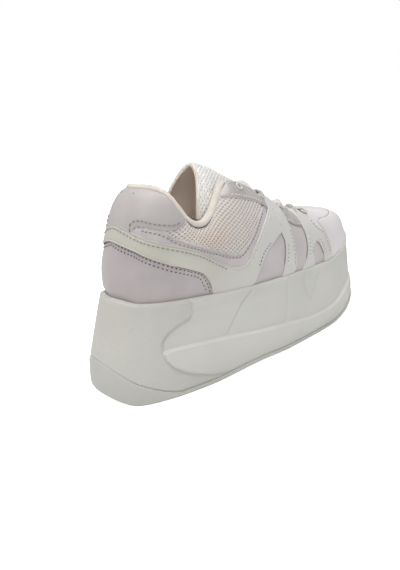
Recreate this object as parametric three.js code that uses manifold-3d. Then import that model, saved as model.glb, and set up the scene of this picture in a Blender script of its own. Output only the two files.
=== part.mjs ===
// Platform sneaker for the right foot: outer side towards +X, toe towards +Y, standing on z = 0.
// Millimetres. Tables give stations from the back of the heel; the group then puts the middle of
// the length at the origin. "around" runs from 0 at the back of the heel to 1 at the toe tip.
import * as THREE from "three";
import { mergeVertices } from "three/addons/utils/BufferGeometryUtils.js";
import Module from "manifold-3d";

const wasm = await Module();
wasm.setup();

// Driving sizes
const soleLength = 280;
const gap = 0.3; // between pieces that touch
const upperWall = 2.4; // leather, foam and lining together
const soleLip = 2.6; // rubber outside the upper at the top edge of the sole
const trayWall = 4; // outsole rubber standing up outside the midsole at heel and toe
const outsoleFloor = 2.6;
const outsoleEdge = 3.2; // least height of the outsole at the side
const outsoleProud = 1.4; // how far the outsole stands out under the midsole
const heelBevel = { length: 14, height: 4.2 };
const heelWrap = { length: 34, height: 17.6, curve: 1.5 };
const toeWrap = { from: 225, height: 7.4, curve: 2 };
const archHollow = { from: 56, to: 150, height: 2.2 };
const toeSpring = { from: 212, height: 21.3, curve: 2.1 };
const insoleHeight = 4;
const tongueThickness = 4.6;
const bindingRadius = 2.25;
const eyelet = { hole: 1.6, barrel: 2.2, flange: 3.2, rise: 0.9, depth: 1.7, fromEdge: 5.4 };
const lace = { width: 7, height: 1.8, lift: 3.2 };
const aroundSteps = 72;

// Sole outline, half by half
const outline = [
  { around: 0, station: 0, outer: 0, inner: 0 },
  { around: 0.08, station: 8.8, outer: 23, inner: -23 },
  { around: 0.2, station: 46, outer: 36.7, inner: -36.7 },
  { around: 0.405, station: 112, outer: 44.2, inner: -35.8 },
  { around: 0.65, station: 190, outer: 45.8, inner: -45.7 },
  { around: 0.818, station: 245, outer: 42.6, inner: -40 },
  { around: 0.905, station: 271, outer: 33, inner: -29.4 },
  { around: 1, station: soleLength, outer: -3, inner: -3 },
];

// Sole side by station: top edge, how far it stands in from the outline, crease of the side band,
// and the floor of the cup that takes the upper
const soleHeights = [
  { station: 0, rim: 61.6, lean: 11.6, crease: 30, floor: 51.5 },
  { station: 50, rim: 61.4, lean: 6.9, crease: 30, floor: 51.5 },
  { station: 130, rim: 59.4, lean: 6.7, crease: 24, floor: 49.5 },
  { station: 210, rim: 61, lean: 6.7, crease: 19, floor: 49 },
  { station: 245, rim: 67, lean: 8, crease: 24, floor: 51.5 },
  { station: soleLength, rim: 81.9, lean: 11.1, crease: 37.5, floor: 60 },
];

// Ribs of the upper. x, y, z: its top edge. rise and lean: how the rib leaves the sole, up and
// outwards. drop and reach: how it arrives at the top edge, from below and from outside.
const ribs = [
  { around: 0, x: 0, y: 32, z: 125.5, rise: 26, lean: 2, drop: 6, reach: 10 },
  { around: 0.05, x: 9, y: 34, z: 125.3, rise: 26, lean: 2, drop: 6, reach: 10 },
  { around: 0.1, x: 15.5, y: 39.5, z: 123.8, rise: 26, lean: 2.5, drop: 7, reach: 9.5 },
  { around: 0.14, x: 19.5, y: 45.5, z: 119, rise: 25, lean: 3, drop: 9, reach: 8.5 },
  { around: 0.175, x: 22.8, y: 51, z: 110, rise: 23, lean: 3.5, drop: 10, reach: 7.5 },
  { around: 0.21, x: 25.6, y: 57, z: 105, rise: 21, lean: 4, drop: 10, reach: 7 },
  { around: 0.25, x: 26, y: 65, z: 105.4, rise: 21, lean: 4, drop: 10, reach: 7.5 },
  { around: 0.29, x: 24, y: 74, z: 110.5, rise: 21, lean: 4.5, drop: 10, reach: 9 },
  { around: 0.33, x: 20.5, y: 83, z: 120.5, rise: 22, lean: 5, drop: 10, reach: 11 },
  { around: 0.365, x: 17.5, y: 93, z: 129.5, rise: 23, lean: 5, drop: 9, reach: 13 },
  { around: 0.42, x: 16, y: 106, z: 128, rise: 23, lean: 5, drop: 7, reach: 14.5 },
  { around: 0.47, x: 15.5, y: 120, z: 123.5, rise: 22, lean: 5, drop: 5, reach: 15 },
  { around: 0.54, x: 15, y: 144, z: 114.5, rise: 20, lean: 5, drop: 4, reach: 16 },
  { around: 0.62, x: 14, y: 168, z: 107.5, rise: 18, lean: 5, drop: 3, reach: 17 },
  { around: 0.7, x: 13, y: 190, z: 103, rise: 17, lean: 4, drop: 2, reach: 19 },
  { around: 0.78, x: 10, y: 203, z: 102, rise: 17, lean: 3, drop: 0, reach: 22 },
  { around: 0.88, x: 5, y: 208.5, z: 101.8, rise: 17, lean: 1.5, drop: -1.5, reach: 27 },
  { around: 1, x: 0, y: 210, z: 101.6, rise: 16, lean: 0.5, drop: -2.5, reach: 32 },
];

// Tongue by station of its ridge: height of the ridge, half width and height of its arch, and how
// far the sides of its back edge stand behind the ridge
const tongueRows = [
  { station: 78, ridge: 142, half: 18.5, arch: 40, back: 10 },
  { station: 89, ridge: 140, half: 18.5, arch: 40, back: 8 },
  { station: 112, ridge: 132.5, half: 19.5, arch: 38, back: 4 },
  { station: 130, ridge: 126, half: 20.5, arch: 36, back: 2 },
  { station: 150, ridge: 117.5, half: 21, arch: 34, back: 1 },
  { station: 175, ridge: 109.5, half: 21, arch: 32, back: 0 },
  { station: 195, ridge: 103, half: 21, arch: 30, back: 0 },
  { station: 208, ridge: 97.5, half: 20, arch: 28, back: 0 },
  { station: 222, ridge: 94, half: 19, arch: 26, back: 0 },
];
const tongueSpread = THREE.MathUtils.degToRad(80);

const eyeletAround = [0.415, 0.495, 0.57, 0.643, 0.715];
const collarSteps = 13; // steps of the rolled edge of the collar on each side of the heel

const bevels = { rimEdge: 1.1, bottomEdge: 1.6 };
const sideBand = { proud: 0.8, recess: 1.6, step: 1.4, from: 30, over: 8 };

const colours = {
  rubber: 0xe9e9e6,
  leather: 0xe6e0e4,
  lining: 0xe3d8cd,
  mesh: 0xdedbdb,
  cord: 0xf2f2ee,
  ring: 0xf4f4f2,
};

// Smooth monotone curve through one column of a table. At both ends the column goes on as its own
// mirror image: the same values again, or, for an odd column, turned about the end value.
function smooth(rows, by, key, at, odd = false) {
  const x = rows.map((row) => row[by]);
  const v = rows.map((row) => row[key]);
  const last = x.length - 1;
  const turn = odd ? -1 : 1;
  const slope = x.slice(1).map((next, i) => (v[i + 1] - v[i]) / (next - x[i]));
  const width = x.slice(1).map((next, i) => next - x[i]);
  const tangent = (i) => {
    const s0 = i > 0 ? slope[i - 1] : -turn * slope[0];
    const s1 = i < last ? slope[i] : -turn * slope[last - 1];
    const w0 = i > 0 ? width[i - 1] : width[0];
    const w1 = i < last ? width[i] : width[last - 1];
    if (s0 * s1 <= 0) return 0;
    return (3 * (w0 + w1)) / ((2 * w1 + w0) / s0 + (w1 + 2 * w0) / s1);
  };
  const a = Math.min(Math.max(at, x[0]), x[last]);
  const found = x.findIndex((value) => value > a);
  const i = found < 0 ? last - 1 : found - 1;
  const h = width[i];
  const t = (a - x[i]) / h;
  const t2 = t * t;
  const t3 = t2 * t;
  const start = (2 * t3 - 3 * t2 + 1) * v[i] + (t3 - 2 * t2 + t) * h * tangent(i);
  const end = (3 * t2 - 2 * t3) * v[i + 1] + (t3 - t2) * h * tangent(i + 1);
  return start + end;
}

// Place on the outline. turn runs once round the shoe: 0 heel, 0 to 1 outer side, 1 toe, 1 to 2 inner.
const wrap = (turn) => ((turn % 2) + 2) % 2;
const isOuter = (turn) => wrap(turn) <= 1;
const aroundOf = (turn) => (isOuter(turn) ? wrap(turn) : 2 - wrap(turn));

function outlinePoint(turn) {
  const around = aroundOf(turn);
  const side = isOuter(turn) ? "outer" : "inner";
  return new THREE.Vector2(
    smooth(outline, "around", side, around, true),
    smooth(outline, "around", "station", around),
  );
}

function outlineNormal(turn) {
  const step = 0.004;
  const along = outlinePoint(turn + step).sub(outlinePoint(turn - step));
  return new THREE.Vector2(along.y, -along.x).normalize();
}

// Point at a distance out from the outline, negative being inwards, at height z
function beside(turn, out, z) {
  const place = outlinePoint(turn).addScaledVector(outlineNormal(turn), out);
  return new THREE.Vector3(place.x, place.y, z);
}

const soleAt = (key, station) => smooth(soleHeights, "station", key, station);
const clamp01 = (value) => Math.min(Math.max(value, 0), 1);

function treadHeight(station) {
  const bevel = heelBevel.height * clamp01(1 - station / heelBevel.length) ** 2;
  const hollow = clamp01((station - archHollow.from) / (archHollow.to - archHollow.from));
  const spring = clamp01((station - toeSpring.from) / (soleLength - toeSpring.from));
  return (
    bevel +
    archHollow.height * Math.sin(Math.PI * hollow) ** 2 +
    toeSpring.height * spring ** toeSpring.curve
  );
}

function outsoleLine(station) {
  const heel = clamp01(1 - station / heelWrap.length) ** heelWrap.curve;
  const toe = clamp01((station - toeWrap.from) / (soleLength - toeWrap.from)) ** toeWrap.curve;
  return treadHeight(station) + outsoleEdge + heelWrap.height * heel + toeWrap.height * toe;
}

// Closed rings, one per level, from a list of functions of turn that give each ring's points
function ringsOf(levels) {
  const turns = Array.from({ length: aroundSteps }, (_, i) => (2 * i) / aroundSteps);
  return levels.map((level) => turns.map(level));
}

function geometryOf(points, faces) {
  const geometry = new THREE.BufferGeometry();
  geometry.setAttribute("position", new THREE.Float32BufferAttribute(points, 3));
  geometry.setIndex(faces);
  return geometry;
}

// Solid of rings stacked from below: sides between rings, and both end rings closed across the shoe
function stack(rings) {
  const count = rings[0].length;
  const points = rings.flat().flatMap((p) => [p.x, p.y, p.z]);
  const faces = [];
  for (let r = 0; r < rings.length - 1; r++) {
    for (let i = 0; i < count; i++) {
      const a = r * count + i;
      const b = r * count + ((i + 1) % count);
      faces.push(a, b, b + count, a, b + count, a + count);
    }
  }
  const top = (rings.length - 1) * count;
  for (let i = 0; i < count / 2; i++) {
    const left = (k) => (count - k) % count;
    const corners = [i, i + 1, left(i + 1), left(i)];
    const triangles = [
      [corners[0], corners[1], corners[2]],
      [corners[0], corners[2], corners[3]],
    ];
    for (const [a, b, c] of triangles) {
      if (a === b || b === c || c === a) continue;
      faces.push(c, b, a, top + a, top + b, top + c);
    }
  }
  return geometryOf(points, faces);
}

// Normals of a grid of points, rows closed round when ringed
function gridNormals(grid, ringed) {
  const rows = grid.length;
  const count = grid[0].length;
  return grid.map((row, r) =>
    row.map((_, i) => {
      const before = ringed ? (i + count - 1) % count : Math.max(i - 1, 0);
      const after = ringed ? (i + 1) % count : Math.min(i + 1, count - 1);
      const along = grid[r][after].clone().sub(grid[r][before]);
      const up = grid[Math.min(r + 1, rows - 1)][i].clone().sub(grid[Math.max(r - 1, 0)][i]);
      return along.cross(up).normalize();
    }),
  );
}

// Closed wall between a grid and the same grid moved in by thickness
function wallOf(grid, thickness, ringed) {
  const rows = grid.length;
  const count = grid[0].length;
  const normals = gridNormals(grid, ringed);
  const inside = grid.map((row, r) =>
    row.map((p, i) => p.clone().addScaledVector(normals[r][i], -thickness)),
  );
  const points = [...grid.flat(), ...inside.flat()].flatMap((p) => [p.x, p.y, p.z]);
  const back = rows * count;
  const faces = [];
  const quad = (a, b, c, d) => faces.push(a, b, c, a, c, d);
  const across = ringed ? count : count - 1;
  for (let r = 0; r < rows - 1; r++) {
    for (let i = 0; i < across; i++) {
      const a = r * count + i;
      const b = r * count + ((i + 1) % count);
      quad(a, b, b + count, a + count);
      quad(back + b, back + a, back + a + count, back + b + count);
    }
  }
  const top = (rows - 1) * count;
  for (let i = 0; i < across; i++) {
    const next = (i + 1) % count;
    quad(next, i, back + i, back + next);
    quad(top + i, top + next, back + top + next, back + top + i);
  }
  if (!ringed) {
    for (let r = 0; r < rows - 1; r++) {
      const a = r * count;
      const b = a + count - 1;
      quad(a, a + count, back + a + count, back + a);
      quad(b + count, b, back + b, back + b + count);
    }
  }
  return geometryOf(points, faces);
}

// Bar of an oval section along a list of frames: place, side and up directions
function sweep(frames, halfWide, halfHigh, corners) {
  const rings = frames.map(({ place, side, up }) =>
    Array.from({ length: corners }, (_, i) => {
      const angle = (2 * Math.PI * i) / corners;
      return place
        .clone()
        .addScaledVector(side, halfWide * Math.cos(angle))
        .addScaledVector(up, halfHigh * Math.sin(angle));
    }),
  );
  const points = rings.flat().flatMap((p) => [p.x, p.y, p.z]);
  const faces = [];
  for (let r = 0; r < rings.length - 1; r++) {
    for (let i = 0; i < corners; i++) {
      const a = r * corners + i;
      const b = r * corners + ((i + 1) % corners);
      faces.push(a, b, b + corners, a, b + corners, a + corners);
    }
  }
  const end = (rings.length - 1) * corners;
  for (let i = 1; i < corners - 1; i++) {
    faces.push(0, i + 1, i, end, end + i, end + i + 1);
  }
  return geometryOf(points, faces);
}

function solidOf(geometry) {
  const plain = geometry.clone();
  plain.deleteAttribute("normal");
  plain.deleteAttribute("uv");
  const merged = mergeVertices(plain, 1e-3);
  return new wasm.Manifold(
    new wasm.Mesh({
      numProp: 3,
      vertProperties: new Float32Array(merged.attributes.position.array),
      triVerts: new Uint32Array(merged.index.array),
    }),
  );
}

function geometryOfSolid(solid) {
  const mesh = solid.getMesh();
  const points = [];
  for (let i = 0; i < mesh.numVert; i++) {
    points.push(...mesh.vertProperties.subarray(i * mesh.numProp, i * mesh.numProp + 3));
  }
  return geometryOf(points, Array.from(mesh.triVerts));
}

// Where the upper leaves the sole
function featherPoint(turn) {
  const station = outlinePoint(turn).y;
  const out = -soleAt("lean", station) - soleLip - gap;
  return beside(turn, out, soleAt("rim", station));
}

function topEdge(turn) {
  const around = aroundOf(turn);
  const side = isOuter(turn) ? 1 : -1;
  return new THREE.Vector3(
    side * smooth(ribs, "around", "x", around, true),
    smooth(ribs, "around", "y", around),
    smooth(ribs, "around", "z", around),
  );
}

// Outer face of the upper: a cubic rib from the sole, up = 0, to the top edge, up = 1
function upperPoint(turn, up) {
  const around = aroundOf(turn);
  const normal = outlineNormal(turn);
  const out = new THREE.Vector3(normal.x, normal.y, 0);
  const handle = (key) => smooth(ribs, "around", key, around);
  const foot = featherPoint(turn);
  const top = topEdge(turn);
  const low = foot.clone().addScaledVector(out, handle("lean"));
  low.z += handle("rise");
  const high = top.clone().addScaledVector(out, handle("reach"));
  high.z -= handle("drop");
  return new THREE.CubicBezierCurve3(foot, low, high, top).getPoint(up);
}

function upperNormal(turn, up) {
  const along = upperPoint(turn + 0.005, up).sub(upperPoint(turn - 0.005, up));
  const rise = upperPoint(turn, Math.min(up + 0.01, 1)).sub(upperPoint(turn, up - 0.01));
  return along.cross(rise).normalize();
}

// Frame of an eyelet: on the upper, a set distance down its rib from the top edge
function eyeletFrame(turn) {
  const edge = topEdge(turn);
  let up = 1;
  while (upperPoint(turn, up).distanceTo(edge) < eyelet.fromEdge) up -= 0.005;
  return { place: upperPoint(turn, up), normal: upperNormal(turn, up) };
}

const eyeletFrames = eyeletAround.flatMap((around, i) => [
  { name: `eyelet_outer_${i + 1}`, ...eyeletFrame(around) },
  { name: `eyelet_inner_${i + 1}`, ...eyeletFrame(2 - around) },
]);

const zAxis = new THREE.Vector3(0, 0, 1);
const turnedTo = (normal) => new THREE.Quaternion().setFromUnitVectors(zAxis, normal);

function outsoleGeometry() {
  const at = (out, height) => (turn) => beside(turn, out, height(outlinePoint(turn).y));
  const rise = (more) => (station) => treadHeight(station) + more;
  const tray = ringsOf([
    at(outsoleProud - bevels.bottomEdge, treadHeight),
    at(outsoleProud, rise(bevels.bottomEdge)),
    at(outsoleProud / 2, outsoleLine),
    at(-trayWall, outsoleLine),
    at(-trayWall - 0.6, rise(outsoleFloor)),
  ]);
  return geometryOfSolid(treadGrooves.reduce((s, g) => s.subtract(g), solidOf(stack(tray))));
}

// Grooves across the tread, straight in the heel and bent forwards in the middle under the ball
const treadLayout = [
  { from: 24, to: 62, pitch: 12.5, bend: 0 },
  { from: 150, to: 215, pitch: 13, bend: 9 },
];
const groove = { width: 3.4, depth: 1.5, halfLength: 60 };
const treadGrooves = treadLayout.flatMap(({ from, to, pitch, bend }) => {
  const count = Math.floor((to - from) / pitch) + 1;
  return Array.from({ length: count }, (_, i) => {
    const middle = from + i * pitch;
    const bottom = treadHeight(middle);
    const shape = new THREE.Shape([
      new THREE.Vector2(-groove.halfLength, middle - bend - groove.width / 2),
      new THREE.Vector2(0, middle + bend - groove.width / 2),
      new THREE.Vector2(groove.halfLength, middle - bend - groove.width / 2),
      new THREE.Vector2(groove.halfLength, middle - bend + groove.width / 2),
      new THREE.Vector2(0, middle + bend + groove.width / 2),
      new THREE.Vector2(-groove.halfLength, middle - bend + groove.width / 2),
    ]);
    const bar = new THREE.ExtrudeGeometry(shape, { depth: groove.depth + 2, bevelEnabled: false });
    bar.translate(0, 0, bottom - 2);
    return solidOf(bar);
  });
});

function midsoleGeometry() {
  const at = (out, height) => (turn) => {
    const station = outlinePoint(turn).y;
    return beside(turn, out(station), height(station));
  };
  const line = (station) => outsoleLine(station) + 2.5 * gap;
  const rim = (station) => soleAt("rim", station);
  const crease = (station) => soleAt("crease", station);
  const panel = (station) => clamp01((station - sideBand.from) / sideBand.over);
  // inward slope of the side at a height
  const flare = (station, height) =>
    (-soleAt("lean", station) * (height - line(station))) / (rim(station) - line(station));
  const creaseOut = (station) => flare(station, crease(station)) + sideBand.proud * panel(station);
  const recessOut = (station) =>
    flare(station, crease(station) + sideBand.step) - sideBand.recess * panel(station);
  const wall = () => -trayWall - gap;
  const lip = (inset) => (station) => -soleAt("lean", station) - inset;
  const rings = ringsOf([
    at((s) => wall(s) - 1, (s) => treadHeight(s) + outsoleFloor + 1.5 * gap),
    at(wall, line),
    at(() => 0, line),
    at((s) => flare(s, (line(s) + crease(s)) / 2) + sideBand.proud, (s) => (line(s) + crease(s)) / 2),
    at(creaseOut, crease),
    at(recessOut, (s) => crease(s) + sideBand.step),
    at((s) => flare(s, rim(s) - 6) - 0.4 * sideBand.recess * panel(s), (s) => rim(s) - 6),
    at(lip(0), (s) => rim(s) - bevels.rimEdge),
    at(lip(bevels.rimEdge), rim),
    at(lip(soleLip), rim),
    at(lip(soleLip), (s) => soleAt("floor", s)),
  ]);
  return stack(rings);
}

function insoleGeometry() {
  const inset = soleLip + 2 * gap + upperWall + 1;
  const at = (extra, lift) => (turn) => {
    const station = outlinePoint(turn).y;
    return beside(turn, -soleAt("lean", station) - inset - extra, soleAt("floor", station) + lift);
  };
  const rings = ringsOf([at(0.6, gap), at(0, gap + 1), at(0, insoleHeight), at(1.2, insoleHeight + gap)]);
  return stack(rings);
}

function upperGeometry() {
  const bottom = (turn) => {
    const foot = featherPoint(turn);
    foot.z = soleAt("floor", outlinePoint(turn).y) + gap;
    return foot;
  };
  const levels = [0, 0.1, 0.2, 0.32, 0.45, 0.58, 0.7, 0.8, 0.9, 1];
  const skin = ringsOf([bottom, ...levels.map((up) => (turn) => upperPoint(turn, up))]);
  const holes = eyeletFrames.map(({ place, normal }) => {
    const cutter = new THREE.CylinderGeometry(eyelet.barrel + 0.5, eyelet.barrel + 0.5, 12, 12);
    cutter.rotateX(Math.PI / 2);
    cutter.applyQuaternion(turnedTo(normal));
    cutter.translate(place.x, place.y, place.z);
    return solidOf(cutter);
  });
  const shell = solidOf(wallOf(skin, upperWall, true));
  return geometryOfSolid(holes.reduce((solid, hole) => solid.subtract(hole), shell));
}

// Rolled edge of the collar, standing on the top edge of the upper
function bindingGeometry() {
  const frames = Array.from({ length: 2 * collarSteps + 1 }, (_, i) => {
    const turn = (2 * (i - collarSteps)) / aroundSteps;
    const up = upperPoint(turn, 1).sub(upperPoint(turn, 0.9)).normalize();
    const out = upperNormal(turn, 0.99);
    const place = topEdge(turn)
      .addScaledVector(up, bindingRadius + 1.5 * gap)
      .addScaledVector(out, -upperWall / 2);
    return { place, side: out.negate(), up };
  });
  return sweep(frames, bindingRadius, bindingRadius, 8);
}

function tonguePoint(station, across) {
  const row = (key) => smooth(tongueRows, "station", key, station);
  const angle = tongueSpread * across;
  return new THREE.Vector3(
    row("half") * Math.sin(angle),
    station - row("back") * Math.sin(angle) ** 2,
    row("ridge") - row("arch") * (1 - Math.cos(angle)),
  );
}

function tongueGeometry() {
  const steps = 18;
  const sides = 14;
  const first = tongueRows[0].station;
  const last = tongueRows[tongueRows.length - 1].station;
  const grid = Array.from({ length: sides + 1 }, (_, j) =>
    Array.from({ length: steps + 1 }, (_, i) =>
      tonguePoint(first + ((last - first) * i) / steps, 1 - (2 * j) / sides),
    ),
  );
  return wallOf(grid, tongueThickness, false);
}

// A lace bar lies over the tongue from an outer eyelet to the inner one across from it
function laceGeometry(outer, inner) {
  const station = (outer.place.y + inner.place.y) / 2;
  const crown = tonguePoint(station, 0);
  crown.z += lace.lift;
  const lifted = ({ place, normal }) => place.clone().addScaledVector(normal, lace.lift);
  const shoulder = (end) => lifted(end).lerp(crown, 0.5).setZ(lifted(end).z * 0.38 + crown.z * 0.62);
  const path = new THREE.CatmullRomCurve3([
    lifted(outer),
    shoulder(outer),
    crown,
    shoulder(inner),
    lifted(inner),
  ]);
  const steps = 14;
  const heelwards = new THREE.Vector3(0, -1, 0.4);
  const frames = Array.from({ length: steps + 1 }, (_, i) => {
    const tangent = path.getTangentAt(i / steps);
    const up = tangent.clone().cross(heelwards).normalize();
    const side = up.clone().cross(tangent);
    return { place: path.getPointAt(i / steps), side, up };
  });
  return sweep(frames, lace.width / 2, lace.height / 2, 8);
}

function eyeletGeometry() {
  const profile = [
    new THREE.Vector2(eyelet.hole, -eyelet.depth),
    new THREE.Vector2(eyelet.barrel, -eyelet.depth),
    new THREE.Vector2(eyelet.barrel, gap),
    new THREE.Vector2(eyelet.flange, gap),
    new THREE.Vector2(eyelet.flange - 0.5, gap + eyelet.rise),
    new THREE.Vector2(eyelet.hole, gap + eyelet.rise - 0.2),
    new THREE.Vector2(eyelet.hole, -eyelet.depth),
  ];
  const ring = new THREE.LatheGeometry(profile, 12);
  ring.rotateX(Math.PI / 2);
  return ring;
}

const shoe = new THREE.Group();
shoe.position.set(0, -soleLength / 2, 0);

function place(name, geometry, color, roughness) {
  const mesh = new THREE.Mesh(geometry, new THREE.MeshStandardMaterial({ color, roughness }));
  mesh.name = name;
  shoe.add(mesh);
  return mesh;
}

place("outsole", outsoleGeometry(), colours.rubber, 0.7);
place("midsole", midsoleGeometry(), colours.rubber, 0.6);
place("insole", insoleGeometry(), colours.lining, 0.9);
place("upper", upperGeometry(), colours.leather, 0.5);
place("collar_binding", bindingGeometry(), colours.lining, 0.7);
place("tongue", tongueGeometry(), colours.mesh, 0.9);
for (const { name, place: at, normal } of eyeletFrames) {
  const ring = place(name, eyeletGeometry(), colours.ring, 0.4);
  ring.position.copy(at);
  ring.quaternion.copy(turnedTo(normal));
}
// the top pair of eyelets is left unlaced
for (let i = 1; i < eyeletAround.length; i++) {
  const bar = laceGeometry(eyeletFrames[2 * i], eyeletFrames[2 * i + 1]);
  place(`lace_bar_${i}`, bar, colours.cord, 0.8);
}

export default shoe;
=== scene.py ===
import bmesh
import bpy
import numpy as np
from mathutils import Euler, Matrix, Vector
from mathutils.geometry import delaunay_2d_cdt
from mathutils.kdtree import KDTree


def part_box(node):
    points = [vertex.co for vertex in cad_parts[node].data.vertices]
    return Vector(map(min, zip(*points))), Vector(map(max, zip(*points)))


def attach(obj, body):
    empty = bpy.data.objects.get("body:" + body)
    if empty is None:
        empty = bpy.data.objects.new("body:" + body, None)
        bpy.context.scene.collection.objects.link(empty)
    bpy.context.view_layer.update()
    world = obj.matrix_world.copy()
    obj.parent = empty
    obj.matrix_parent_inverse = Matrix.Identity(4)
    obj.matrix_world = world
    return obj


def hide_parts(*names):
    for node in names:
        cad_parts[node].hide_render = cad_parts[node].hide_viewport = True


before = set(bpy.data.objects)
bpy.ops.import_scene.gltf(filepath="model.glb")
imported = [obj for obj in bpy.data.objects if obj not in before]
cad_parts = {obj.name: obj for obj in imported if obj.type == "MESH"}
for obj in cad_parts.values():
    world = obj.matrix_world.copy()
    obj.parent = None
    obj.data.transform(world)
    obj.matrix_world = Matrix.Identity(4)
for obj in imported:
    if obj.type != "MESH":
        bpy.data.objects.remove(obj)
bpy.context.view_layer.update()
print("frame loaded:", len(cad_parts), "nodes")

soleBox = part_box("outsole")
shoe = {
    "length": 280.0,  # heel back to toe tip of the sole outline
    "middle": (soleBox[0].y + soleBox[1].y) / 2 * 1000,  # frame y of half the length
    "lip": 2.6,  # sole rubber outside the upper at the rim
    "gap": 0.3,
    "wall": 2.4,  # leather, foam and lining together
    "span": 320.0,  # seam patterns: millimetres from the heel to the toe tip along the sole edge
}
upward = np.array([0, 0, 1.0])

outline = {  # half by half; around is 0 at the back of the heel and 1 at the toe tip
    "around": [0, 0.08, 0.2, 0.405, 0.65, 0.818, 0.905, 1],
    "station": [0, 8.8, 46, 112, 190, 245, 271, 280],
    "outer": [0, 23, 36.7, 44.2, 45.8, 42.6, 33, -3],
    "inner": [0, -23, -36.7, -35.8, -45.7, -40, -29.4, -3],
}
soleHeights = {  # rim height, lean inwards at the rim, floor of the cup
    "station": [0, 6, 12, 20, 30, 42, 130, 210, 245, 280],
    "rim": [64.4, 63.6, 62.9, 62.25, 61.75, 61.45, 59.4, 61, 67, 81.9],
    "lean": [9.6, 9.2, 8.8, 8.2, 7.5, 7, 6.7, 6.7, 8, 11.1],
    "floor": [51.5, 51.5, 51.5, 51.5, 51.5, 51.5, 49.5, 49, 51.5, 60],
}
ribs = {  # top edge of the upper (x, y, z) and how each rib leaves the sole and arrives at that edge
    "around": [0, .05, .1, .14, .175, .21, .25, .29, .33, .365, .42, .47, .54, .62, .7, .78, .88, 1],
    "x": [0, 9, 15.5, 19.5, 22.8, 25.6, 26, 24, 20.5, 17.5, 16, 15.5, 15, 14, 13, 10, 5, 0],
    "y": [32, 34, 39.5, 45.5, 51, 57, 65, 74, 83, 93, 106, 120, 144, 168, 190, 203, 208.5, 210],
    "z": [127.3, 127.1, 125.4, 120, 110.5, 104.6, 104.4, 109.6, 121, 131.6, 129.6, 125, 115.6, 108,
          104, 103.6, 104, 104.4],
    "rise": [26, 26, 26, 25, 23, 21, 21, 21, 22, 23, 23, 22, 20, 18, 17, 17, 17, 16],
    "lean": [2, 2, 2.5, 3, 3.5, 4, 4, 4.5, 5, 5, 5, 5, 5, 5, 4, 3, 1.5, .5],
    "drop": [6, 6, 7, 9, 10, 10, 10, 10, 10, 9, 7, 5, 4, 3, 2, 0, -1.5, -2.5],
    "reach": [10, 10, 9.5, 8.5, 7.5, 7, 7.5, 9, 11, 13, 14.5, 15, 16, 17, 19, 22, 27, 32],
}
tongueRows = {  # ridge height, half width, height of the arch, and how far its sides stand behind
    "station": [78, 89, 112, 130, 150, 175, 195, 208, 222],
    "ridge": [142, 140, 132.5, 126, 117.5, 109.5, 103, 97.5, 94],
    "half": [18.5, 18.5, 19.5, 20.5, 21, 21, 21, 20, 19],
    "arch": [40, 40, 38, 36, 34, 32, 30, 28, 26],
    "back": [10, 8, 4, 2, 1, 0, 0, 0, 0],
}


def clamp(value, low=0.0, high=1.0):
    # the value held between two ends
    return np.clip(value, low, high)


def ease(value):
    # 3t^2 - 2t^3 of the value held between 0 and 1
    t = clamp(value)
    return t * t * (3 - 2 * t)


def bell(value, width):
    # e to the minus (value / width) squared
    return np.exp(-((value / width) ** 2))


def unit(vectors):
    # each vector over its own length
    return vectors / (np.linalg.norm(vectors, axis=-1, keepdims=True) + 1e-12)


def travelled(line):
    # the length run along a line up to each of its points: running sum of the steps between them
    return np.concatenate([[0], np.cumsum(np.linalg.norm(np.diff(line, axis=0), axis=1))])


def pointsAt(line, at):
    # the points that lie given lengths along a line
    length = travelled(line)
    return np.stack([np.interp(at, length, column) for column in line.T], -1)


def throughKnots(knots, fine):
    # Catmull-Rom: cubic pieces whose slope at each knot is half the way between its two neighbours
    knots = np.asarray(knots, float)
    q = np.vstack([2 * knots[0] - knots[1], knots, 2 * knots[-1] - knots[-2]])
    t = np.linspace(0, 1, fine, endpoint=False)[None, :, None]
    before, start, stop, after = (q[k:len(q) - 3 + k, None] for k in range(4))
    line = start + (stop - before) * t / 2 + (2 * before - 5 * start + 4 * stop - after) * t**2 / 2
    line = line + (3 * start - before - 3 * stop + after) * t**3 / 2
    return np.vstack([line.reshape(-1, knots.shape[1]), knots[-1:]])


def smooth(table, by, key, at, odd=False):
    # monotone cubic through one column; at both ends the column goes on as its own mirror image,
    # or, if odd, turned about its end value
    x, v = np.array(table[by], float), np.array(table[key], float)
    width = np.diff(x)
    slope = np.diff(v) / width
    end = 1 if odd else -1
    s = np.concatenate([[end * slope[0]], slope, [end * slope[-1]]])
    w = np.concatenate([[width[0]], width, [width[-1]]])
    before, after, wide, wideNext = s[:-1], s[1:], w[:-1], w[1:]
    same = before * after > 0
    a, b = np.where(same, before, 1), np.where(same, after, 1)
    mean = 3 * (wide + wideNext) / ((2 * wideNext + wide) / a + (wideNext + 2 * wide) / b)
    tangent = np.where(same, mean, 0)
    place = clamp(at, x[0], x[-1])
    i = np.clip(np.searchsorted(x, place, side="right") - 1, 0, len(x) - 2)
    h = width[i]
    t = (place - x[i]) / h
    start = (2 * t**3 - 3 * t**2 + 1) * v[i] + (t**3 - 2 * t**2 + t) * h * tangent[i]
    return start + (3 * t**2 - 2 * t**3) * v[i + 1] + (t**3 - t**2) * h * tangent[i + 1]


def aroundOf(turn):
    # turn runs once round the shoe: 0 to 1 the outer side, 1 to 2 (or 0 to -1) the inner side
    t = np.mod(turn, 2)
    return np.where(t <= 1, t, 2 - t)


def outlinePoint(turn):
    # (x, station) of the sole outline: the column of the side that the turn is on
    around = aroundOf(turn)
    outer = np.mod(turn, 2) <= 1
    sides = [smooth(outline, "around", key, around, True) for key in ("outer", "inner")]
    return np.stack([np.where(outer, *sides), smooth(outline, "around", "station", around)], -1)


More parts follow.
